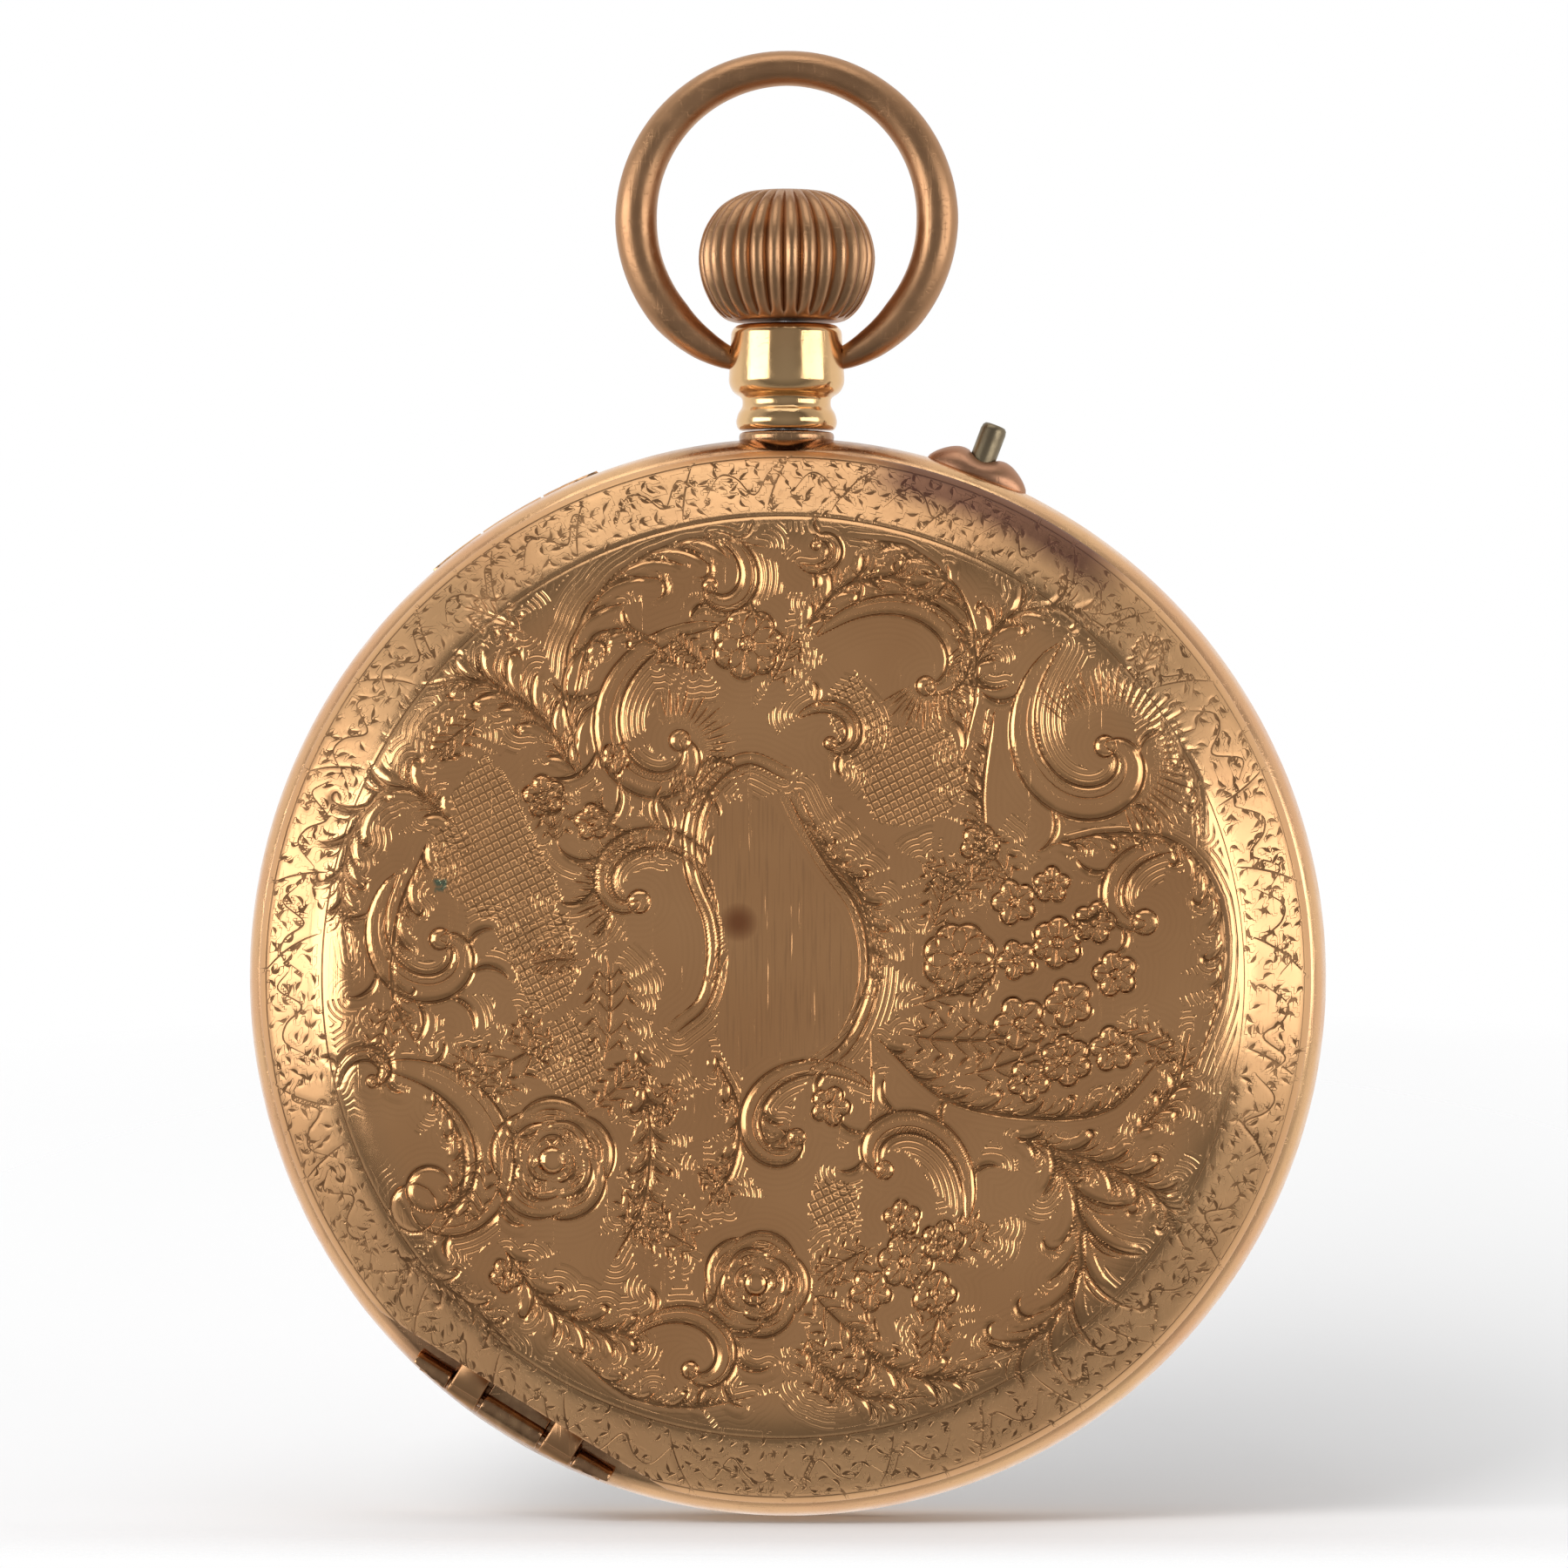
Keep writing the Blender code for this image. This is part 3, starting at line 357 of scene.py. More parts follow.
def gold(name, bright=GOLD, dull=GOLD_ROSE, gloss=0.2, wear=1.0, shade_and_grime_at=()):
    """Polished gold with faint tone patches, hairline scratches and small dents, darkened round the given
    places by painted shade with grime.
    """
    n = Nodes(name)
    patches = n.span(n.noise(0.25, 4), 0.35, 0.65)
    fine = n.noise(2.2, 4)
    colour = n.mix(patches * 0.6, bright, dull)
    colour = n.mix(n.span(fine, 0.62, 0.75, 0, 0.25 * wear), colour, GOLD_DULL)
    scratches = n.noise(1.0, 2, (9, 9, 0.7))
    crossing = n.noise(1.0, 2, (0.8, 9, 9))
    lines = n.span(scratches, 0.60, 0.66) + n.span(crossing, 0.61, 0.66)
    roughness = n.span(n.noise(0.9, 5), 0.3, 0.7, gloss - 0.06, gloss + 0.10) + lines * (0.08 * wear)
    # Painted shade with grime: the gold darkens within a few millimetres of each given place.
    for turn, out, depth in shade_and_grime_at:
        away, _ = at_turn(turn)
        gap = n.add("ShaderNodeVectorMath", operation="DISTANCE")
        n.put(gap.inputs[0], n.place)
        gap.inputs[1].default_value = Vector(away * out + np.array([0, depth, 0])) * MM
        near = n.span(Value(n, gap.outputs["Value"]) * (1 / MM), 3.2, 5.4, 0.72, 0.0)
        colour = n.mix(near * n.span(fine, 0.3, 0.6, 0.6, 1.0), colour, JOINT_SHADE_AND_GRIME)
    dents = n.bump(n.noise(0.5, 2), 0.03 * wear, 0.6)
    return n.finish(colour, roughness, 1.0, n.bump(fine - lines * 0.6, 0.004 * wear, 0.8, dents))


def along_turn(x, z, turn):
    """How far a point of the cover lies towards a turn from the crown."""
    away, _ = at_turn(turn)
    return x * away[0] + z * away[2]


def squared_gap(x, z, centre):
    """The square of the distance to a place on the cover."""
    return (x - centre[0]) * (x - centre[0]) + (z - centre[1]) * (z - centre[1])


def cover_lines(n, x, z):
    """The finest engraving: hatching beside the cuts, crossed lattice lines, and the cuts' cores."""
    waves = n.math("SINE", n.attribute("echo") * (2 * math.pi / HATCH_PITCH))
    hatching = n.span(waves, 0.0, 0.9) * n.attribute("hatch")
    rows = []
    for slant in LATTICE_SLANTS:
        place = x * math.cos(math.radians(slant)) + z * math.sin(math.radians(slant))
        wave = n.math("SINE", place * (2 * math.pi / LATTICE_PITCH))
        rows.append(n.span(wave, 0.1, 0.8))
    crossed = n.math("MAXIMUM", *rows) * n.attribute("lattice")
    beside = n.math("ABSOLUTE", n.attribute("line"))
    core = n.math("MULTIPLY_ADD", n.attribute("nib") - beside, 40.0, 0.5, clamp=True)
    return hatching, crossed, core * n.attribute("fresh")


def cover_stains_and_shade(n, x, z, radius, colour):
    """A dark spot, grime and painted shade beside the hinge, a dark band on the border beside the setting
    pin, and a speck of verdigris.
    """
    colour = n.mix(n.span(squared_gap(x, z, (-1.5, 1.9)), 0.02, 0.5, 0.75, 0.0), colour, (0.30, 0.08, 0.03))
    # Painted shade with grime: the cover's rim darkens towards the hinge's straight edge.
    toward = along_turn(x, z, BACK_HINGE[0])
    colour = n.mix(n.span(toward, 17.2, 17.6, 0.0, 0.45), colour, (0.20, 0.09, 0.045))
    # Darkens a band of the border's slope beside the setting pin, about turn 25 from the crown.
    facing = along_turn(x, z, 25) / n.math("MAXIMUM", radius, 1.0)
    dark_band = n.span(facing, 0.957, 0.982) * n.span(radius, 16.9, 17.7)
    colour = n.mix(dark_band * 0.85, colour, (0.15, 0.065, 0.05))
    speck = squared_gap(x, z, (-11.9, 3.2)) + n.span(n.noise(5.0, 2), 0.3, 0.7, -0.04, 0.06)
    return n.mix(n.span(speck, 0.02, 0.09, 0.8, 0.0), colour, (0.09, 0.24, 0.17))


def engraved_gold():
    """The cover's gold: grime in the cuts, hatching beside the scrolls, a lattice and long brush marks."""
    n = Nodes("engraved_gold")
    x, _, z = n.axes()
    radius = n.math("SQRT", x * x + z * z)
    patches = n.span(n.noise(0.16, 4), 0.35, 0.65)
    middle = n.mix(patches * 0.8, (0.93, 0.49, 0.215), (0.80, 0.40, 0.17))
    edge = n.mix(patches, (0.80, 0.465, 0.225), (0.74, 0.41, 0.195))
    colour = n.mix(n.span(radius, 14.6, 16.4), middle, edge)
    hatching, crossed, core = cover_lines(n, x, z)
    shallow = n.math("MAXIMUM", n.attribute("cut") * 0.55, hatching * 0.42 + crossed * 0.6)
    patchy = n.span(n.noise(0.8, 3), 0.25, 0.6, 0.55, 1.0)
    grime = n.math("MULTIPLY", n.math("MAXIMUM", shallow, core), patchy, clamp=True)
    colour = n.mix(grime * 0.8, colour, GRIME)
    colour = cover_stains_and_shade(n, x, z, radius, colour)
    scratches = n.span(n.noise(1.0, 2, (5, 5, 0.25)), 0.63, 0.68)
    brushing = n.noise(1.0, 3, (11, 11, 0.45)) * n.attribute("brushed")
    colour = n.mix(n.span(brushing, 0.5, 0.75) * 0.35, colour, (0.36, 0.19, 0.10))
    polish = n.span(n.noise(0.5, 5), 0.3, 0.7, 0.12, 0.21)
    satin_border = n.span(radius, 16.15, 16.6, 0.0, 0.2)
    roughness = n.math("ADD", polish, grime * 0.3, clamp=True) + scratches * 0.06 + satin_border
    dents = n.bump(n.noise(0.35, 2), 0.05, 0.5)
    worn = n.bump(n.noise(1.8, 5) - scratches * 0.8, 0.005, 0.8, dents)
    brushed = n.bump(brushing, 0.012, 0.9, worn)
    lined = n.bump(1.0 - (hatching + crossed), 0.028, 0.9, brushed)
    return n.finish(colour, roughness, 1.0, n.bump(1.0 - core, 0.03, 0.8, lined))


def grained_metal(name, colour, dark, gloss):
    """Metal with a fine grain and a faint change of tone."""
    n = Nodes(name)
    lines = n.noise(2.5, 4)
    patches = n.span(n.noise(0.4, 3), 0.35, 0.65)
    shade = n.mix(patches * 0.45, colour, dark)
    shade = n.mix(n.span(lines, 0.45, 0.7, 0, 0.3), shade, dark)
    roughness = n.span(lines, 0.3, 0.7, gloss - 0.05, gloss + 0.1)
    return n.finish(shade, roughness, 1.0, n.bump(lines, 0.006, 0.7))


def spotted_gilt(name):
    """Gilt plates, grained by hand in small overlapping rounds."""
    n = Nodes(name)
    spots = n.add("ShaderNodeTexVoronoi", feature="F1", Scale=1.35 / MM, Randomness=0.25, Vector=n.place)
    rings = n.math("SINE", Value(n, spots.outputs["Distance"]) * 46.0)
    grain = n.noise(9.0, 4)
    shade = n.mix(n.span(n.noise(0.2, 3), 0.35, 0.65), (0.80, 0.58, 0.26), (0.70, 0.47, 0.19))
    shade = n.mix(n.span(rings, 0.2, 1.0, 0, 0.22), shade, (0.45, 0.30, 0.12))
    roughness = n.span(grain, 0.3, 0.7, 0.26, 0.42)
    bumps = n.bump(rings, 0.004, 0.6)
    return n.finish(shade, roughness, 1.0, n.bump(grain, 0.006, 0.7, bumps))


def enamel_white():
    """Vitreous enamel: milky white with the faintest waviness."""
    n = Nodes("enamel_white")
    tint = n.mix(n.span(n.noise(0.2, 3), 0.35, 0.65), (0.86, 0.85, 0.81), (0.82, 0.80, 0.75))
    tint = n.mix(n.span(n.noise(6.0, 2), 0.72, 0.8, 0, 0.4), tint, (0.5, 0.46, 0.4))
    roughness = n.span(n.noise(1.2, 3), 0.3, 0.7, 0.07, 0.14)
    return n.finish(tint, roughness, 0.0, n.bump(n.noise(0.4, 1), 0.01, 0.5), Coat_Weight=0.5)


def ink_black():
    """The printed figures, fired into the enamel."""
    n = Nodes("ink_black")
    tint = n.mix(n.span(n.noise(3.0, 3), 0.4, 0.7), (0.012, 0.012, 0.014), (0.035, 0.033, 0.033))
    return n.finish(tint, n.span(n.noise(2.0, 3), 0.3, 0.7, 0.25, 0.4), 0.0)


def clear_crystal():
    """Domed mineral glass with very slight surface wear."""
    n = Nodes("clear_crystal")
    roughness = n.span(n.noise(0.7, 4), 0.55, 0.75, 0.0, 0.04)
    tint = n.mix(n.span(n.noise(0.3, 2), 0.3, 0.7), (1.0, 1.0, 1.0), (0.97, 0.985, 0.98))
    return n.finish(tint, roughness, 0.0, Transmission_Weight=1.0, IOR=1.49)


def ruby():
    """A polished red jewel."""
    n = Nodes("ruby")
    tint = n.mix(n.span(n.noise(2.0, 2), 0.3, 0.7), (0.55, 0.01, 0.05), (0.38, 0.01, 0.03))
    return n.finish(tint, n.span(n.noise(3.0, 2), 0.3, 0.7, 0.04, 0.09), 0.0, IOR=1.76)


MATERIALS = {
    # The case and cuvette gold darken round the back hinge, and the case round the pendant's foot: painted
    # shade with grime.
    "case_gold": gold("case_gold_look", shade_and_grime_at=(BACK_HINGE, (0, 19.0, STEM_Y))),
    "pendant_gold": gold("pendant_gold_look", (0.82, 0.53, 0.26), (0.74, 0.43, 0.2), 0.13, 0.5),
    "cover_gold": engraved_gold(),
    "cuvette_gold": gold("cuvette_gold_look", (0.84, 0.52, 0.27), (0.76, 0.43, 0.23), 0.16, 0.8,
                         shade_and_grime_at=(BACK_HINGE,)),
    # The bow and crown get a darker copy of the case gold: painted shade.
    "bow_gold": gold("bow_gold_shaded_look", (0.50, 0.28, 0.145), (0.42, 0.22, 0.11), 0.33, 0.9),
    # The guard gets a darker copy of the case gold: painted dark reflection.
    "guard_gold": gold("guard_gold_shaded_look", (0.46, 0.24, 0.14), (0.40, 0.19, 0.11), 0.36, 0.9),
    "dull_brass": grained_metal("dull_brass_look", (0.30, 0.24, 0.15), (0.12, 0.09, 0.06), 0.34),
    "gilt_plate": spotted_gilt("gilt_plate_look"),
    "gilt_wheel": grained_metal("gilt_wheel_look", (0.83, 0.62, 0.28), (0.62, 0.42, 0.17), 0.24),
    "steel": grained_metal("steel_look", (0.62, 0.63, 0.65), (0.40, 0.41, 0.43), 0.2),
    "blued_steel": grained_metal("blued_steel_look", (0.035, 0.06, 0.26), (0.03, 0.03, 0.12), 0.2),
    "blued_screw": grained_metal("blued_screw_look", (0.04, 0.07, 0.30), (0.04, 0.03, 0.13), 0.18),
    "enamel": enamel_white(),
    "crystal_glass": clear_crystal(),
    "jewel": ruby(),
}
INK = ink_black()


def dress_cad_nodes():
    """Every CAD node gets the finish of its slot."""
    for row in frame["record"]["subparts"]:
        node = frame["nodes"][row["node"]]
        look = MATERIALS[row["material_slot"]]
        node.data.materials.clear()
        node.data.materials.append(look)


# ---------------------------------------------------------------- the engraver's strokes

def arc(centre, radius, start, sweep, count=16, end_radius=None):
    """Points along an arc or spiral in the XZ plane; angles are from +X towards +Z."""
    t = np.linspace(0, 1, count)
    angle = np.radians(start + sweep * t)
    reach = radius * ((end_radius or radius) / radius) ** t
    return np.stack([centre[0] + reach * np.cos(angle), centre[1] + reach * np.sin(angle)], 1)


def curl(start, direction, length, turn, count=9):
    """A short stroke that leaves at an angle and bends steadily."""
    t = np.linspace(0, 1, count)
    angle = np.radians(direction + turn * (t - 0.15))
    step = np.stack([np.cos(angle), np.sin(angle)], 1) * length / (count - 1)
    return np.vstack([start, np.array(start) + np.cumsum(step[:-1], 0)])


def normals(path):
    """Unit left-hand normals along a path."""
    ahead = np.gradient(path, axis=0)
    ahead /= np.maximum(np.linalg.norm(ahead, axis=1), 1e-9)[:, None]
    return np.stack([-ahead[:, 1], ahead[:, 0]], 1)


class Engraving:
    """The marks on a surface whose points are at x, z: how deep, how dirty and how hatched."""

    def __init__(self, x, z):
        self.x, self.z = x, z
        self.depth = np.zeros(len(x))
        self.rise = np.zeros(len(x))
        self.echo = np.full(len(x), 3.0)
        self.lit = np.zeros(len(x))
        self.gap = np.full(len(x), 3.0)
        self.line = np.full(len(x), 3.0)
        self.nib = np.zeros(len(x))
        self.lattice = np.zeros(len(x))
        self.brushed = np.zeros(len(x))
        self.quiet = np.zeros(len(x))

    def near(self, path, reach):
        """The points within reach of a path: which, how far, on which side, and how far along."""
        low, high = path.min(0) - reach, path.max(0) + reach
        which = np.flatnonzero((self.x > low[0]) & (self.x < high[0])
                               & (self.z > low[1]) & (self.z < high[1]))
        if not len(which):
            return which, np.zeros(0), np.zeros(0), np.zeros(0)
        begin, step = path[:-1], np.diff(path, axis=0)
        square = np.maximum((step ** 2).sum(1), 1e-12)
        dx = self.x[which][:, None] - begin[:, 0]
        dz = self.z[which][:, None] - begin[:, 1]
        share = np.clip((dx * step[:, 0] + dz * step[:, 1]) / square, 0, 1)
        off_x, off_z = dx - share * step[:, 0], dz - share * step[:, 1]
        gap = off_x ** 2 + off_z ** 2
        best = gap.argmin(1)
        rows = np.arange(len(which))
        distance = np.sqrt(gap[rows, best])
        side = np.sign(step[best, 0] * off_z[rows, best] - step[best, 1] * off_x[rows, best])
        along = (best + share[rows, best]) / len(step)
        keep = distance < reach
        return which[keep], distance[keep], side[keep], along[keep]

    def groove(self, path, width=0.16, depth=0.06, echo=True, lean=0.6, nib=0):
        """A swelling cut with one steep and one sloping side."""
        which, distance, side, along = self.near(path, 1.3 if echo else max(2.2 * width, 0.25))
        swell = np.sin(np.pi * np.clip(along, 0.03, 0.97)) ** 0.55
        first = distance < self.gap[which]
        self.gap[which[first]] = distance[first]
        self.line[which[first]] = (side * distance)[first]
        self.nib[which[first]] = (nib or 0.32 * width) * swell[first]
        reach = width * swell * np.where(side > 0, 1 + lean, 1 - lean * 0.4)
        cut = np.clip(1 - distance / reach, 0, 1)
        self.depth[which] = np.maximum(self.depth[which], depth * (0.4 + 0.6 * swell) * cut)
        if echo:
            closer = distance < self.echo[which]
            self.echo[which[closer]] = distance[closer]
            self.lit[which[closer]] = side[closer] > 0

    def ridge(self, path, width, height):
        """A rounded raised band whose half width may change along the path."""
        which, distance, _, along = self.near(path, np.max(width))
        half = np.interp(along, np.linspace(0, 1, np.size(width)), np.atleast_1d(width))
        bulge = np.clip(1 - (distance / np.maximum(half, 0.02)) ** 2, 0, 1)
        self.rise[which] = np.maximum(self.rise[which], 0.75 * height * bulge)
        self.quiet[which] = np.maximum(self.quiet[which], np.clip(bulge * 2.5, 0, 1))

    def dome(self, centre, radius, height):
        """A small raised bead."""
        gap = np.hypot(self.x - centre[0], self.z - centre[1]) / radius
        which = np.flatnonzero(gap < 1)
        self.rise[which] = np.maximum(self.rise[which], height * np.sqrt(1 - gap[which] ** 2))
        self.quiet[which] = 1

    def inside(self, outline):
        """Which points lie inside a closed outline."""
        inside = np.zeros(len(self.x), bool)
        for (x0, z0), (x1, z1) in zip(outline, np.roll(outline, -1, axis=0)):
            spans = (z0 > self.z) != (z1 > self.z)
            crossing = (x1 - x0) * (self.z - z0) / (z1 - z0 + 1e-12) + x0
            inside ^= spans & (self.x < crossing)
        return inside

    def scroll(self, centre, radius, start, turns, width, hand=1, eye=0.4, lobes=5, lobe=1.6, outer=1):
        """A C-scroll: a band that winds into its eye, with leaf lobes along one side."""
        path = arc(centre, radius, start, hand * 360 * turns, 46, eye)
        t = np.linspace(0, 1, len(path))
        half = width * np.clip(np.sin(np.pi * t ** 0.75), 0, 1) ** 0.7 + 0.05
        across = normals(path) * half[:, None]
        self.ridge(path, half, 0.05)
        self.groove(path + across, 0.13, 0.085)
        self.groove(path - across, 0.13, 0.085)
        self.groove(path[4:-8] + across[4:-8] * 0.35, 0.07, 0.03, echo=False)
        self.dome(path[-1], eye * 0.85, 0.09)
        self.groove(arc(path[-1], eye * 0.9, 0, 340, 14), 0.09, 0.06)
        facing = -hand * outer
        for i in range(lobes):
            k = int(len(path) * (0.10 + 0.62 * i / max(lobes - 1, 1)))
            normal = normals(path)[k] * facing
            heading = math.degrees(math.atan2(normal[1], normal[0]))
            size = lobe * (0.65 + 0.5 * math.sin(math.pi * (i + 0.6) / (lobes + 0.2)))
            root = path[k] + normal * half[k]
            stroke = curl(root, heading + hand * outer * 42, size, -hand * outer * 95)
            self.groove(stroke, 0.15, 0.085)
            self.ridge(stroke + normals(stroke) * 0.2 * hand * outer, 0.2, 0.04)
            small = curl(root, heading + hand * outer * 60, size * 0.6, -hand * outer * 70)
            self.groove(small, 0.08, 0.045, echo=False)

    def plume(self, points, width, count=7, sides=(1, -1), strokes=2):
        """An acanthus feather: a curved rib with strokes sweeping off it towards the tip."""
        path = smooth_path(points, 10)
        self.groove(path, 0.14, 0.085)
        across = normals(path)
        ahead = np.gradient(path, axis=0)
        for side in sides:
            for i in range(count):
                t = 0.03 + 0.84 * i / count
                k = int(t * (len(path) - 1))
                heading = math.degrees(math.atan2(ahead[k][1], ahead[k][0]))
                size = width * (0.55 + 0.6 * math.sin(math.pi * (i + 0.5) / count))
                stroke = curl(path[k], heading + side * 6, size, side * 84, 14)
                self.groove(stroke, 0.16, 0.08)
                lobe = stroke + normals(stroke) * 0.24 * side
                self.ridge(lobe, 0.26 * np.sin(np.pi * np.linspace(0.1, 0.95, 9)) ** 0.8, 0.06)
                if i % 2:
                    tip = curl(stroke[-1], heading + side * 95, size * 0.32, side * 170, 8)
                    self.groove(tip, 0.13, 0.08, echo=False)
                for j in range(strokes):
                    root = path[min(k + 2 + 2 * j, len(path) - 1)] + across[k] * side * 0.14
                    fine = curl(root, heading + side * 8, size * (0.74 - 0.2 * j), side * 76, 10)
                    self.groove(fine, 0.07, 0.03, echo=False)

    def leaf(self, root, direction, length, width, bend=20, teeth=5):
        """A saw-edged leaf with a midrib and side veins."""
        rib = curl(root, direction, length, bend, 14)
        self.groove(rib, 0.10, 0.07)
        self.ridge(rib, width * 0.55 * np.sin(np.pi * np.linspace(0.05, 0.95, 9)) ** 0.7, 0.04)
        for side in (1, -1):
            for i in range(teeth):
                t = (i + 0.5) / teeth
                k = int(t * (len(rib) - 2))
                ahead = rib[k + 1] - rib[k]
                heading = math.degrees(math.atan2(ahead[1], ahead[0]))
                size = width * math.sin(math.pi * (0.15 + 0.75 * t)) ** 0.8
                vein = curl(rib[k], heading + side * 48, size, -side * 25, 7)
                self.groove(vein, 0.07, 0.045, echo=False)
                tooth = curl(vein[-1], heading + side * 150, size * 0.55, -side * 40, 7)
                self.groove(tooth, 0.10, 0.075)

    def rose(self, centre, radius, turn=0):
        """Three rings of overlapping petals round a bud."""
        for ring, (share, petals) in enumerate(((1.0, 5), (0.68, 4), (0.4, 3))):
            for i in range(petals):
                angle = turn + ring * 35 + i * 360 / petals
                reach = radius * share
                middle = (centre[0] + 0.35 * reach * math.cos(math.radians(angle)),
                          centre[1] + 0.35 * reach * math.sin(math.radians(angle)))
                petal = arc(middle, reach * 0.72, angle - 62, 128, 14, reach * 0.66)
                self.groove(petal, 0.13, 0.085)
                crest = arc(middle, reach * 0.6, angle - 50, 100, 12)
                self.ridge(crest, 0.2 * share + 0.04, 0.06 + 0.03 * ring)
                for j in range(3):
                    inner = arc(middle, reach * (0.5 - 0.09 * j), angle - 30, 55, 7)
                    self.groove(inner, 0.05, 0.03, echo=False)
        self.dome(centre, radius * 0.2, 0.1)
        self.groove(arc(centre, radius * 0.22, 40 + turn, 300, 12), 0.09, 0.08)

    def flower(self, centre, radius, petals=5, turn=0):
        """A small open flower: rounded petals about a bead."""
        for i in range(petals):
            angle = turn + i * 360 / petals
            middle = (centre[0] + 0.58 * radius * math.cos(math.radians(angle)),
                      centre[1] + 0.58 * radius * math.sin(math.radians(angle)))
            self.dome(middle, radius * 0.42, 0.075)
            self.groove(arc(middle, radius * 0.42, angle - 118, 236, 12), 0.09, 0.085)
            vein = curl(centre, angle, radius * 0.85, 0, 5)
            self.groove(vein, 0.05, 0.04, echo=False)
        self.dome(centre, radius * 0.2, 0.1)
        self.groove(arc(centre, radius * 0.22, 0, 350, 10), 0.07, 0.06, echo=False)

    def fan(self, centre, inner, outer, start, sweep, count, depth=0.045):
        """Rays that stand round part of a circle."""
        for i in range(count):
            angle = math.radians(start + sweep * i / count)
            ray = np.array([[centre[0] + r * math.cos(angle), centre[1] + r * math.sin(angle)]
                            for r in np.linspace(inner, outer * (1 - 0.12 * (i % 2)), 5)])
            self.groove(ray, 0.07, depth, echo=False)


# ---------------------------------------------------------------- the cover's design

# centre x, z, radius, start angle, turns, band half width, hand, eye, lobes, lobe length, outer side
SCROLLS = [
    (-3.8, 7.9, 4.7, 69, 0.95, 0.42, 1, 0.42, 7, 1.9, 1),
    (5.1, 10.5, 4.1, 160, 0.72, 0.36, -1, 0.38, 5, 1.5, 1),
    (11.3, 7.6, 4.3, 112, 0.95, 0.52, 1, 0.42, 4, 1.5, 1),
    (-5.2, 3.0, 4.2, -50, 0.98, 0.30, 1, 0.45, 7, 1.5, 1),
    (-11.9, 0.9, 3.1, 120, 0.92, 0.42, 1, 0.42, 6, 1.4, 1),
    (-12.3, -7.3, 4.5, 112, 0.66, 0.62, -1, 0.95, 4, 1.0, 1),
    (3.75, -6.4, 3.4, -38, 0.78, 0.34, 1, 0.36, 5, 1.2, 1),
    (0.2, -5.6, 3.4, 32, 0.92, 0.30, 1, 0.34, 4, 0.9, -1),
    (-2.9, -13.5, 2.6, 160, 0.85, 0.30, -1, 0.34, 6, 1.2, 1),
    (-2.2, 13.6, 1.9, 100, 0.8, 0.28, -1, 0.3, 3, 0.9, 1),
    (1.9, 8.3, 1.5, 150, 0.8, 0.20, -1, 0.25, 2, 0.8, 1),
    (12.6, 2.4, 2.4, 60, 0.6, 0.34, 1, 0.5, 4, 1.1, 1),
    (-14.3, -3.4, 1.3, 200, 0.8, 0.2, -1, 0.25, 2, 0.7, 1),
    (1.4, 15.0, 1.0, 220, 0.85, 0.16, 1, 0.2, 2, 0.6, 1),
]

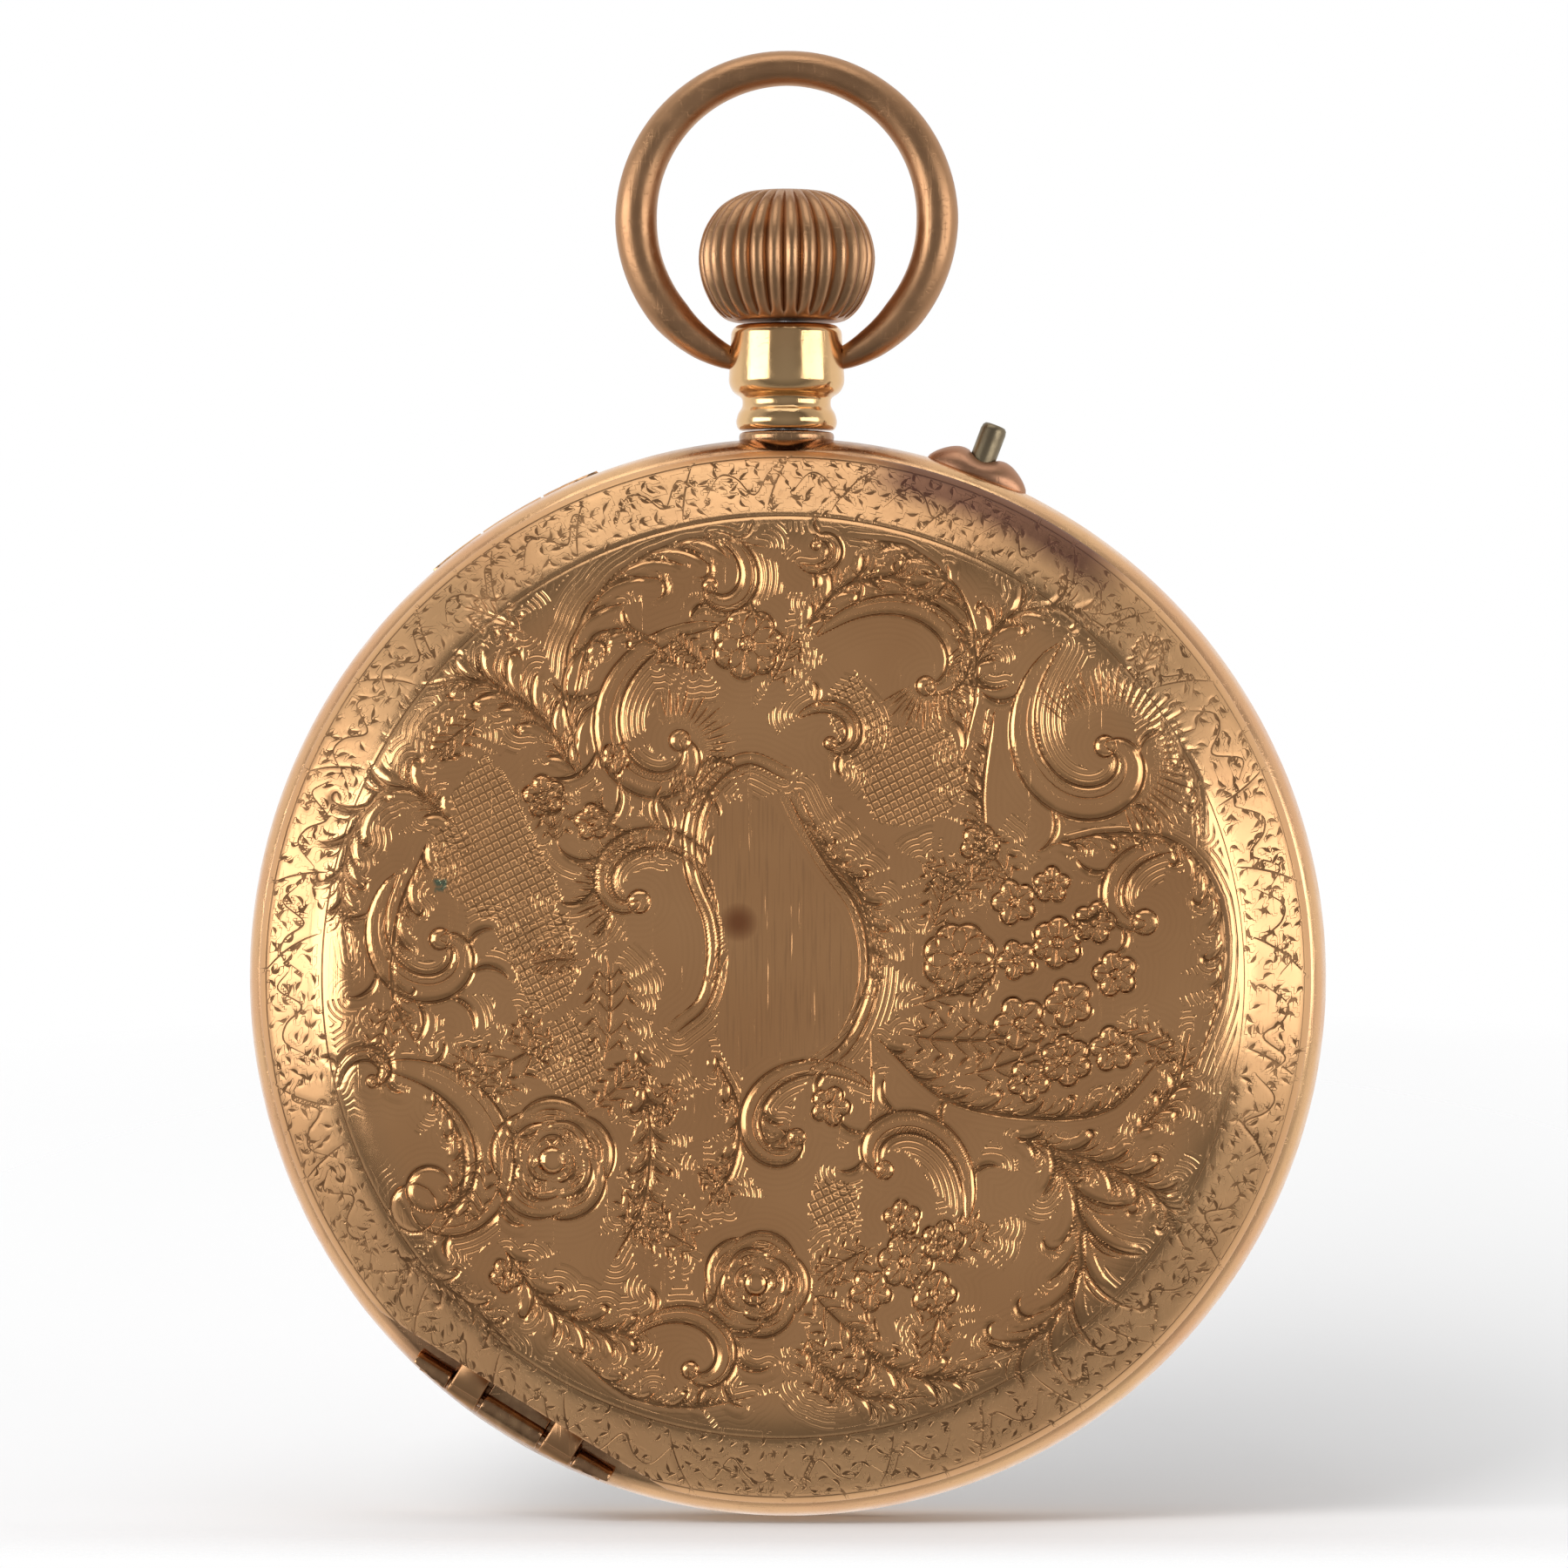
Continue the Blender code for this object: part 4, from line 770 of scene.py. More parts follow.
# points of the rib, width, strokes on each side, sides
PLUMES = [
    ([(-7.0, 7.4), (-7.6, 10.0), (-7.0, 12.4), (-5.4, 14.3), (-3.0, 15.3), (-0.6, 15.0)], 3.0, 7, (-1,)),
    ([(-7.2, 7.2), (-8.4, 9.0), (-10.4, 10.3), (-12.6, 10.2)], 1.7, 6, (-1, 1)),
    ([(-11.4, 5.3), (-13.2, 6.6), (-14.9, 5.4), (-15.4, 3.0), (-15.1, 0.6)], 1.5, 7, (-1, 1)),
    ([(6.3, 7.6), (6.8, 10.3), (6.4, 13.0), (4.6, 14.9), (2.4, 15.3)], 1.9, 7, (1,)),
    ([(6.6, 10.6), (7.8, 12.4), (9.8, 12.9), (11.6, 12.0)], 1.4, 5, (-1, 1)),
    ([(9.0, -5.4), (10.2, -7.6), (10.3, -10.2), (9.0, -12.4), (6.6, -13.4)], 3.1, 7, (-1, 1)),
    ([(8.2, -5.6), (10.8, -6.4), (13.0, -7.6), (14.0, -9.4)], 1.5, 6, (-1, 1)),
    ([(9.4, 4.6), (11.6, 5.0), (13.8, 4.6), (15.2, 2.6), (15.3, -0.4), (14.4, -3.2)], 1.3, 9, (-1,)),
    ([(3.4, -2.2), (5.6, -4.2), (8.6, -4.9), (11.4, -4.6), (13.4, -2.6)], 1.2, 8, (1,)),
    ([(0.6, 5.6), (1.6, 4.2), (2.8, 2.6), (3.1, 0.4), (2.4, -1.6)], 0.95, 8, (1,)),
    ([(-9.6, -9.6), (-8.2, -11.4), (-6.0, -12.4), (-4.2, -11.9)], 1.4, 6, (-1, 1)),
    ([(-5.0, -2.6), (-4.6, -5.2), (-4.8, -7.8), (-5.8, -9.8)], 1.0, 6, (-1, 1)),
    ([(-13.4, -9.8), (-11.0, -11.4), (-9.4, -13.0)], 1.0, 4, (-1, 1)),
    ([(0.8, -13.0), (2.8, -14.6), (5.0, -14.6)], 1.0, 4, (-1, 1)),
    ([(-2.3, -2.8), (-1.5, -4.6), (-1.7, -6.6), (-2.6, -8.0)], 0.7, 5, (-1,)),
    ([(13.2, 9.0), (14.4, 7.0), (14.6, 5.0)], 0.8, 4, (-1,)),
    ([(-12.4, 4.6), (-13.4, 2.2), (-13.6, -0.6), (-12.6, -2.6)], 1.3, 5, (1,)),
    ([(-3.6, 10.8), (-5.0, 12.0), (-6.6, 11.8), (-7.2, 9.8)], 1.1, 5, (1,)),
    ([(0.9, 12.2), (2.2, 13.6), (4.2, 13.8), (5.6, 12.4)], 1.2, 5, (1, -1)),
    ([(7.2, 4.0), (7.0, 6.4), (7.4, 9.2)], 1.0, 5, (1,)),
    ([(2.2, -12.0), (3.4, -13.4), (5.4, -14.0), (7.4, -13.6)], 1.3, 5, (1, -1)),
    ([(-12.2, -4.0), (-11.2, -5.6), (-11.2, -7.6), (-12.0, -9.0)], 0.8, 5, (-1,)),
    ([(-7.4, -13.0), (-5.4, -14.6), (-3.2, -15.0), (-1.0, -14.6)], 0.9, 5, (1,)),
    ([(12.4, -5.4), (13.6, -4.0), (14.2, -2.0)], 0.8, 4, (-1, 1)),
]

# root x, z, direction, length, width
LEAVES = [
    (-7.9, -2.2, 205, 3.6, 1.0), (-6.2, -2.9, 82, 3.6, 0.9), (-9.3, -4.2, 140, 2.8, 0.8),
    (-10.4, -6.2, 250, 2.6, 0.8), (-5.6, -7.2, 305, 2.6, 0.8), (-6.6, -4.6, 40, 2.4, 0.7),
    (1.0, -10.9, 312, 3.4, 1.0), (0.9, -12.4, 290, 2.6, 0.8), (-2.8, -9.6, 150, 2.8, 0.8),
    (4.6, -1.0, 20, 3.2, 0.8), (4.3, -2.0, 352, 3.6, 0.85), (5.2, 1.6, 70, 2.2, 0.7),
    (6.4, -3.4, 15, 4.2, 1.0), (8.0, 3.2, 120, 2.2, 0.7), (11.8, -1.8, 330, 2.2, 0.7),
    (3.2, -9.4, 205, 2.4, 0.7), (5.7, -11.2, 250, 2.4, 0.7), (-7.8, 4.6, 100, 2.2, 0.7),
    (-9.2, -1.2, 300, 2.0, 0.6), (-0.4, 10.2, 60, 2.0, 0.6), (-2.6, 10.6, 130, 1.8, 0.6),
    (4.8, 4.0, 330, 2.0, 0.6), (-3.8, -3.6, 250, 1.8, 0.5), (-9.0, 12.0, 150, 2.4, 0.7),
    (-10.6, 9.0, 215, 2.2, 0.7), (12.2, 10.2, 60, 2.0, 0.6), (-13.6, -1.0, 250, 2.2, 0.6),
    (-3.0, 5.6, 110, 1.8, 0.5), (-7.0, 0.6, 180, 1.8, 0.6), (7.4, -8.6, 200, 2.6, 0.8),
    (6.0, 2.8, 40, 1.8, 0.6), (-1.8, -8.0, 120, 1.8, 0.5),
]

# centre x, z, radius, petals
FLOWERS = [
    (-1.2, 11.6, 1.25, 7), (8.3, -1.6, 0.95, 5), (9.9, -2.9, 0.9, 6), (10.0, -0.9, 0.85, 5),
    (11.5, -2.5, 0.8, 5), (8.6, -3.6, 0.75, 5), (11.6, 0.1, 0.8, 5), (9.6, 1.2, 0.9, 6),
    (8.2, 0.6, 0.7, 5), (10.9, 1.9, 0.75, 5), (8.1, 2.6, 0.8, 5), (9.4, 3.2, 0.65, 5),
    (6.2, 0.6, 1.3, 8), (4.3, -9.9, 0.95, 6), (5.6, -9.2, 0.75, 5), (3.1, -10.9, 0.75, 5),
    (5.3, -11.0, 0.8, 5), (4.2, -8.4, 0.65, 5), (-5.8, 7.6, 0.55, 5), (-8.3, 6.3, 0.75, 5),
    (-6.6, 5.4, 0.65, 5), (6.9, 4.6, 0.7, 5), (-9.6, -10.4, 0.6, 5), (1.7, -4.5, 0.7, 5),
]

CARTOUCHE_LEFT = [(0.1, 6.9), (-1.2, 7.4), (-2.4, 6.6), (-3.0, 5.2), (-2.9, 3.6), (-2.3, 2.0),
                  (-2.2, 0.4), (-2.6, -1.0), (-3.6, -1.9)]
CARTOUCHE_RIGHT = [(0.3, 6.2), (0.8, 5.2), (1.6, 3.9), (2.6, 2.5), (3.0, 1.0), (2.9, -0.6), (2.2, -2.2),
                   (1.0, -3.2)]
CARTOUCHE_FIELD = [(-0.4, 6.2), (-1.9, 6.0), (-2.5, 4.2), (-2.2, 2.2), (-1.9, 0.2), (-2.3, -1.8),
                   (-1.7, -3.3), (-0.6, -2.8), (0.9, -2.7), (2.2, -1.4), (2.5, 0.8), (1.6, 2.8), (0.4, 4.8)]
LATTICES = [
    [(-10.4, 7.8), (-11.9, 5.6), (-12.0, 3.4), (-10.0, 1.6), (-8.6, -1.2), (-7.2, -0.2),
     (-7.6, 2.6), (-8.6, 4.8), (-9.4, 6.6)],
    [(2.6, 10.6), (1.6, 9.4), (2.6, 7.2), (3.4, 5.4), (5.6, 5.6), (6.6, 7.2), (5.6, 8.6), (3.8, 8.8)],
    [(-9.0, -2.6), (-7.4, -1.4), (-6.2, -3.2), (-7.6, -4.2)],
    [(1.2, -7.0), (2.6, -7.4), (2.4, -8.8), (1.0, -8.4)],
]


def draw_panel(art):
    """Scrolls, feathers, leaves and flowers round an empty cartouche."""
    for x, z, *rest in SCROLLS:
        art.scroll((x, z), *rest)
    art.fan((11.3, 7.6), 1.9, 3.3, -70, 215, 34)
    art.fan((-5.2, 3.0), 1.2, 2.1, 60, 190, 24)
    art.fan((-3.8, 7.9), 1.2, 2.2, -60, 170, 20)
    art.fan((5.1, 10.5), 0.9, 1.9, -150, 200, 22)
    for points, width, count, sides in PLUMES:
        art.plume(points, width, count, sides)
    for x, z, direction, length, width in LEAVES:
        art.leaf((x, z), direction, length, width)
    for x, z, radius, petals in FLOWERS:
        art.flower((x, z), radius, petals, 40 * x)
    art.rose((-8.0, -6.4), 2.1, 20)
    art.rose((-0.9, -10.7), 1.8, 75)
    art.dome((-12.3, -7.4), 0.75, 0.07)
    art.groove(arc((-12.3, -7.4), 0.8, 0, 355, 24), 0.13, 0.08)
    for side, (points, shift) in enumerate(((CARTOUCHE_LEFT, 0.42), (CARTOUCHE_RIGHT, -0.36))):
        path = smooth_path(points, 9)
        art.groove(path, 0.15, 0.09)
        inner = path - normals(path) * shift
        art.ridge((path + inner) / 2, abs(shift) * 0.62, 0.06)
        art.groove(inner, 0.10, 0.07)
        art.groove(path + normals(path) * (0.3 - 0.6 * side), 0.06, 0.03, echo=False)
    art.groove(smooth_path([(3.1, -2.2), (3.14, -3.6), (3.1, -4.9)], 8), 0.05, 0.04, echo=False)
    field = art.inside(smooth_path(CARTOUCHE_FIELD + CARTOUCHE_FIELD[:1], 6))
    art.brushed[field] = art.quiet[field] = 1.0
    art.depth[field] = art.rise[field] = 0.0
    art.gap[field] = 3.0
    for outline in LATTICES:
        patch = art.inside(smooth_path(outline + outline[:1], 6))
        free = patch & (art.depth < 0.012) & (art.rise < 0.012)
        art.lattice[free] = 1.0


def draw_border(art):
    """The rim's band: small comma cuts in sprigs between curved dividing lines."""
    repeats = 32
    for i in range(repeats):
        start = 360 * i / repeats + rng.uniform(-1.2, 1.2)
        a = math.radians(start)
        lean = math.radians(rng.uniform(2.0, 5.0)) * rng.choice((-1, 1))
        ray = [(r * math.cos(a + lean * t), r * math.sin(a + lean * t))
               for t, r in zip((0, 0.45, 0.8, 1), (18.25, 17.6, 16.9, 16.35))]
        art.groove(smooth_path(ray, 5), 0.06, 0.02, echo=False, nib=0.026)
        sprig = [((17.35 + 0.5 * math.sin(2.2 * k)) * math.cos(a + 0.035 * k),
                  (17.35 + 0.5 * math.sin(2.2 * k)) * math.sin(a + 0.035 * k)) for k in range(6)]
        art.groove(smooth_path(sprig, 5), 0.06, 0.015, echo=False, nib=0.022)
    rows = ((16.4, 0.50, 0.26), (16.8, 0.46, 0.28), (17.2, 0.44, 0.30), (17.6, 0.44, 0.28),
            (17.95, 0.46, 0.24))
    for row, (radius, spacing, length) in enumerate(rows):
        count = int(2 * math.pi * radius / spacing)
        for i in range(count):
            if rng.random() < 0.2:
                continue
            a = 2 * math.pi * (i + rng.uniform(-0.3, 0.3)) / count
            r = radius + rng.uniform(-0.1, 0.1)
            heading = math.degrees(a) + 90 + rng.choice((-1, 1)) * rng.uniform(18, 68)
            start = (r * math.cos(a), r * math.sin(a))
            size = length * rng.uniform(0.7, 1.25)
            turn = rng.choice((-1, 1)) * rng.uniform(20, 80)
            art.groove(curl(start, heading, size, turn, 5), 0.085, 0.022, echo=False, lean=0.3, nib=0.052)
    for radius, width in ((18.2, 0.05), (16.1, 0.045)):
        art.groove(arc((0, 0), radius, 0, 360, 200), width, 0.02, echo=False, nib=0.02)


def disc_points(half, radius):
    """A square grid of (2 half + 1) points a side, stretched to a disc in even rings."""
    a, b = np.meshgrid(np.arange(-half, half + 1), np.arange(-half, half + 1), indexing="ij")
    ring = np.maximum(abs(a), abs(b))
    wide = abs(a) > abs(b)
    safe = np.where(ring == 0, 1, ring)
    eighth = np.where(wide, b / safe, a / safe) * math.pi / 4
    angle = np.where(wide, np.where(a > 0, eighth, math.pi - eighth),
                     np.where(b > 0, math.pi / 2 - eighth, -math.pi / 2 + eighth))
    reach = ring / half * radius
    return reach * np.cos(angle), reach * np.sin(angle)


def square_rim(half):
    """Indices of the grid's outer points in order round the square."""
    side = 2 * half + 1
    order = [(i, 0) for i in range(side - 1)] + [(side - 1, j) for j in range(side - 1)]
    order += [(i, side - 1) for i in range(side - 1, 0, -1)] + [(0, j) for j in range(side - 1, 0, -1)]
    return [i * side + j for i, j in order]


COVER_OUTSIDE = [(0, 0), (13.3, 0), (15.35, 0.14), (16.25, 0.5), (18.2, 1.68), (18.45, 2.05)]
COVER_INSIDE = [(18.45, 2.45), (17.75, 2.45), (17.6, 2.0), (16.9, 1.2), (15.6, 0.62), (13.3, 0.4)]
PANEL_RADIUS = 14.6     # where the grid of squares turns into rings
PANEL_HALF = 175        # half the squares across the panel
BORDER_RINGS = 50
BORDER_START = 15.9     # the panel's relief and hatching end here
CHORD_OUTSIDE, CHORD_INSIDE = 17.45, 17.2    # the rim is cut straight beside the hinge
COVER_KNUCKLE = (1.33, 2.52)    # tangent distances of each of its two knuckles
COVER_ARM = (1.35, 2.5)


def cover_slope():
    """The outside's (radius, depth) from the centre to the rim, with its corners eased."""
    easy = rounded(COVER_OUTSIDE, 0.9, 8)
    length = np.concatenate([[0], np.cumsum(np.linalg.norm(np.diff(easy, axis=0), axis=1))])
    fine = np.arange(0, length[-1], 0.02)
    line = np.stack([np.interp(fine, length, easy[:, 0]), np.interp(fine, length, easy[:, 1])], 1)
    half = 20
    kernel = np.hanning(2 * half + 1)
    kernel /= kernel.sum()
    beyond = line[-1] + np.outer(np.arange(1, half + 1), line[-1] - line[-2])
    held = np.vstack([np.repeat(line[:1], half, 0), line, beyond])
    return np.stack([np.convolve(held[:, i], kernel, "valid") for i in (0, 1)], 1)


def rings(radii, depths, angle):
    """Points of circles of given radii and depths, at the same angles in each."""
    return np.stack([np.outer(radii, np.cos(angle)), np.repeat(depths[:, None], len(angle), 1),
                     np.outer(radii, np.sin(angle))], -1).reshape(-1, 3)


def stitched(first, second):
    """Quads between two closed rows with as many points."""
    return [list(q) for q in zip(first, first[1:] + first[:1], second[1:] + second[:1], second)]


def cover_outside(slope):
    """Points and faces of the plain outside, and the angles of the points round its rim."""
    x, z = (each.ravel() for each in disc_points(PANEL_HALF, PANEL_RADIUS))
    rim = square_rim(PANEL_HALF)
    angle = np.arctan2(z[rim], x[rim])
    outer = slope[slope[:, 0] > PANEL_RADIUS + 0.03]
    along = np.concatenate([[0], np.cumsum(np.linalg.norm(np.diff(outer, axis=0), axis=1))])
    places = np.linspace(0, along[-1], BORDER_RINGS)
    radii, depths = (np.interp(places, along, outer[:, i]) for i in (0, 1))
    flat = np.interp(np.hypot(x, z), slope[:, 0], slope[:, 1])
    points = np.vstack([np.stack([x, flat, z], 1), rings(radii, depths, angle)])
    side = 2 * PANEL_HALF + 1
    faces = grid_faces(side, side, wrap_columns=False)
    faces += stitched(rim, list(range(len(x), len(x) + len(rim))))
    faces += grid_faces(BORDER_RINGS, len(rim), first=len(x))
    return points, faces, angle


def engraved(points, slope, lift):
    """The points moved out, or in where lift is negative, along the plain outside's normal."""
    radius = np.hypot(points[:, 0], points[:, 2])
    steep = np.gradient(slope[:, 1], slope[:, 0])
    tilt = np.arctan(np.interp(radius, slope[:, 0], steep))
    outward = lift * np.sin(tilt) / np.where(radius > 0, radius, 1)
    return points + np.stack([outward * points[:, 0], -lift * np.cos(tilt), outward * points[:, 2]], 1)


def with_inside(points, faces, angle):
    """The outside closed with a plain inside, and the rim cut straight at the hinge."""
    around, start = len(angle), len(points)
    inside = rounded(COVER_INSIDE, 0.12, 3)
    shell = np.vstack([points, rings(inside[:, 0], inside[:, 1], angle)])
    faces = faces + stitched(list(range(start - around, start)), list(range(start, start + around)))
    faces += grid_faces(len(inside), around, first=start)
    faces.append([len(shell) - around + i for i in range(around)][::-1])
    radial, _ = at_turn(BACK_HINGE[0])
    limit = np.where(np.arange(len(shell)) < start, CHORD_OUTSIDE, CHORD_INSIDE)
    over = np.maximum(shell @ radial - limit, 0)
    return shell - over[:, None] * radial, faces


def make_back_cover():
    """The engraved cover: a finely meshed outside, a plain inside, and its half of the hinge."""
    slope = cover_slope()
    points, faces, angle = cover_outside(slope)
    art = Engraving(points[:, 0], points[:, 2])
    draw_panel(art)
    draw_border(art)
    radius = np.hypot(art.x, art.z)
    art.rise *= np.clip((BORDER_START - radius) / 0.5, 0, 1)
    surface = engraved(points, slope, art.rise - art.depth)
    parts = [with_inside(surface, faces, angle)]
    for sign in (-1, 1):
        arm, knuckle = (sorted((sign * low, sign * high)) for low, high in (COVER_ARM, COVER_KNUCKLE))
        parts.append(slab_at(BACK_HINGE[0], (17.25, 18.3), arm, (1.95, 2.28)))
        parts.append(hinge_tube(BACK_HINGE, *knuckle))
    cover = piece("engraved_cover", joined(*parts), "cover_gold", "back_cover", "back_cover", sharp=70)
    mark_cover(cover, art, radius)
    return cover


def mark_cover(cover, art, radius):
    """What the cover's material reads at every point: cuts, hatching, lattice and brushing."""
    reach = 1.25
    background = (art.echo > 0.1) & (art.echo < reach) & (radius < BORDER_START)
    hatch = background * (1 - art.quiet) * np.clip((reach - art.echo) / 0.5, 0, 1)
    hatch *= 0.12 + 0.88 * art.lit
    marks = {"echo": art.echo, "cut": np.clip(art.depth / 0.07, 0, 1), "hatch": hatch,
             "lattice": art.lattice, "brushed": 0.35 + 0.65 * art.brushed, "line": art.line,
             "nib": art.nib, "fresh": np.clip((0.26 - art.gap) / 0.1, 0, 1)}
    for name, values in marks.items():
        full = np.zeros(len(cover.data.vertices), np.float32)
        full[:len(radius)] = values
        cover.data.attributes.new(name, "FLOAT", "POINT").data.foreach_set("value", full)


# ---------------------------------------------------------------- the rest of the case

def make_crown():
    """The onion crown, with rounded ribs that run from its collar to its crest."""
    ribs = 29
    profile = rounded([(0, 23.12), (2.1, 23.12), (2.6, 23.6), (3.0, 24.4), (3.17, 25.4), (2.95, 26.4),
                       (2.35, 27.25), (1.5, 27.7), (0.7, 27.78), (0, 27.78)], 0.6, 4)
    profile[0][0] = profile[-1][0] = 0

    def ribbed(radius, height, turn):
        fade = np.clip((radius - 0.9) / 1.0, 0, 1)
        wave = 1 - np.abs(np.sin(turn * ribs / 2)) ** 0.8
        return radius - 0.27 * fade * wave * np.clip((height - 23.2) / 0.25, 0, 1)

    shape = spun(profile, ribs * 14, "z", (0, STEM_Y, 0), ribbed)
    return piece("ribbed_crown", shape, "bow_gold", "crown", "crown", sharp=50)


def push_from_hinge(points, hinge, spans, clear=0.56):
    """Hollows a rim where the other half's knuckles turn."""
    radial, tangent = at_turn(hinge[0])
    away, deep = points @ tangent, points @ radial
    reach = np.hypot(deep - hinge[1], points[:, 1] - hinge[2])
    inside = np.zeros(len(points), bool)
    for low, high in spans:
        inside |= (away > low) & (away < high) & (deep > 0) & (reach < clear)
    points[inside] -= radial * ((clear - reach[inside]) * 1.2)[:, None]
    return points


def pin_bore():
    """The room for the setting pin, as a cylinder through the band."""
    radial, _ = at_turn(PIN_TURN)
    centre = np.array([0, STEM_Y, 0])
    return tube([centre + radial * r for r in (15.5, 18.0, 21.5)], 0.55, 32)


def cut_away(shape, cutter):
    """A closed shape with another one cut out of it."""
    made = [mesh_object(name, *each, INK) for name, each in (("whole", shape), ("cutter", cutter))]
    whole, tool = made
    cut = whole.modifiers.new("cut", "BOOLEAN")
    cut.operation, cut.solver, cut.object = "DIFFERENCE", "EXACT", tool
    result = whole.evaluated_get(bpy.context.evaluated_depsgraph_get()).data
    points = np.array([v.co for v in result.vertices]) / MM
    faces = [list(f.vertices) for f in result.polygons]
    for obj in made:
        mesh = obj.data
        bpy.data.objects.remove(obj)
        bpy.data.meshes.remove(mesh)
    return points, faces


def make_case_middle():
    """The band, with the pendant's boss and the case's knuckles of both hinges."""
    profile = rounded([(16.2, 6.0), (16.2, 2.6), (17.05, 2.6), (17.05, 2.3), (17.4, 2.3), (17.4, 2.6),
                       (18.4, 2.6), (18.82, 3.05), (19, 3.8), (19, 4.8), (18.82, 5.55), (18.4, 6.0)],
                      0.35, 4, closed=True)
    points, faces = spun(profile, 720)
    push_from_hinge(points, BACK_HINGE, [(-2.58, 2.58)])
    push_from_hinge(points, BEZEL_HINGE, [(-1.28, 1.28)])
    boss = rounded([(0.76, 17.6), (1.4, 17.6), (1.42, 18.5), (1.68, 18.85), (1.68, 19.2), (0.76, 19.2)],
                   0.2, 4, closed=True)
    parts = [cut_away((points, faces), pin_bore()), spun(boss, 96, "z", (0, STEM_Y, 0))]
    for sign in (-1, 1):
        parts.append(hinge_tube(BACK_HINGE, *sorted((sign * 2.6, sign * 4.0))))
        parts.append(hinge_tube(BEZEL_HINGE, *sorted((sign * 1.3, sign * 3.4))))
    return piece("plain_band", joined(*parts), "case_gold", "case", "case_middle", sharp=45)


def make_olivette():
    """The guard round the nail: two soft mounds on the band with a dip between them."""
    radial, tangent = at_turn(PIN_TURN)
    outline, points = 28, []
    rows = np.linspace(-1.9, 1.9, 41)
    for t in rows:
        share = abs(t) / 1.9
        swell = max(math.cos(share * math.pi / 2), 0.0) ** 0.55
        dip = 0.42 * math.exp(-(t / 0.62) ** 2)
        height, wide = 0.93 * swell * (1 - dip) + 0.02, 0.9 * swell + 0.03
        for k in range(outline):
            a = 2 * math.pi * k / outline
            up = max(math.sin(a), -0.35)
            points.append(radial * (18.95 - 0.05 * t * t + height * up) + tangent * t
                          + np.array([0, STEM_Y + wide * math.cos(a), 0]))
    faces = grid_faces(len(rows), outline)
    faces.append(list(range(outline))[::-1])
    faces.append([(len(rows) - 1) * outline + i for i in range(outline)])
    shape = cut_away((np.array(points), faces), pin_bore())
    # The guard wears a darker copy of the case gold: painted dark reflection.
    return piece("guard_mounds", shape, "case_gold", "case", "olivette",
                 look=MATERIALS["guard_gold"], sharp=60)


def make_bow():
    """The round bow, thicker at its sides, with thin ends that pivot in the pendant."""
    swing = np.radians(np.linspace(-156.6, 156.6, 121))
    path = np.stack([5.33 * np.sin(swing), np.full(121, STEM_Y), 26.76 + 5.33 * np.cos(swing)], 1)
    radii = np.interp(np.abs(np.degrees(swing)), [0, 40, 90, 130, 146, 156.6],
                      [0.62, 0.66, 0.74, 0.70, 0.56, 0.42])
    end = np.array([[2.0, STEM_Y, 21.8], [1.5, STEM_Y, 21.8]])
    start = end[::-1] * (-1, 1, 1)
    path = np.vstack([start, path, end])
    radii = np.concatenate([[0.34, 0.36], radii, [0.36, 0.34]])
    return piece("round_bow", tube(path, radii, 40), "bow_gold", "bow", "bow")


def make_pendant():
    """The neck: a plain sleeve, a waist and a bead above the band."""
    profile = rounded([(0.7, 23), (1.75, 23), (1.95, 22.8), (2.05, 20.95), (1.9, 20.62), (1.56, 20.42),
                       (1.56, 20.1), (1.72, 19.88), (1.8, 19.55), (1.7, 19.27), (0.7, 19.27)],
                      0.16, 5, closed=True)
    return piece("collared_pendant", spun(profile, 120, "z", (0, STEM_Y, 0)), "case_gold", "case",
                 "pendant", look=MATERIALS["pendant_gold"], sharp=80)


def make_setting_pin():
    """The nail: a plain round pin with a softened, slightly worn end."""
    radial, _ = at_turn(PIN_TURN)
    centre = np.array([0, STEM_Y, 0])
    places = [(16.2, 0.4), (16.25, 0.46), (20.55, 0.46), (20.7, 0.43), (20.78, 0.36), (20.8, 0.25)]
    path = [centre + radial * r for r, _ in places]
    shape = tube(path, [r for _, r in places], 40)
    return piece("nail_pin", shape, "dull_brass", "setting_pin", "setting_pin")


def make_bezel():
    """The front rim, with a stepped section, its knuckle and its thumb lip."""
    profile = rounded([(15.9, 6.1), (18.3, 6.1), (18.75, 6.6), (18.75, 7.2), (17.95, 8.35), (17, 9),
                       (16.35, 9), (16.35, 8), (15.5, 8), (15.3, 7.05), (15.9, 7.05)], 0.22, 4, closed=True)
    points, faces = spun(profile, 480)
    push_from_hinge(points, BEZEL_HINGE, [(-3.52, -1.22), (1.22, 3.52)])
    parts = [(points, faces), hinge_tube(BEZEL_HINGE, -1.2, 1.2),
             slab_at(170, (18.0, 19.1), (-1.1, 1.1), (6.2, 6.75), 0.25)]
    return piece("bezel_rim", joined(*parts), "case_gold", "bezel", "bezel", sharp=50)


def make_crystal():
    """The domed glass."""
    outside = [(0, 10.3), (8, 9.98), (13, 9.35), (15.6, 8.85), (16.2, 8.55), (16.2, 8.1)]
    inside = [(15.6, 8.1), (12.6, 8.65), (7.8, 9.2), (0, 9.5)]
    profile = rounded(outside + inside, 0.15, 3)
    return piece("domed_crystal", spun(profile, 240), "crystal_glass", "bezel", "crystal", sharp=60)


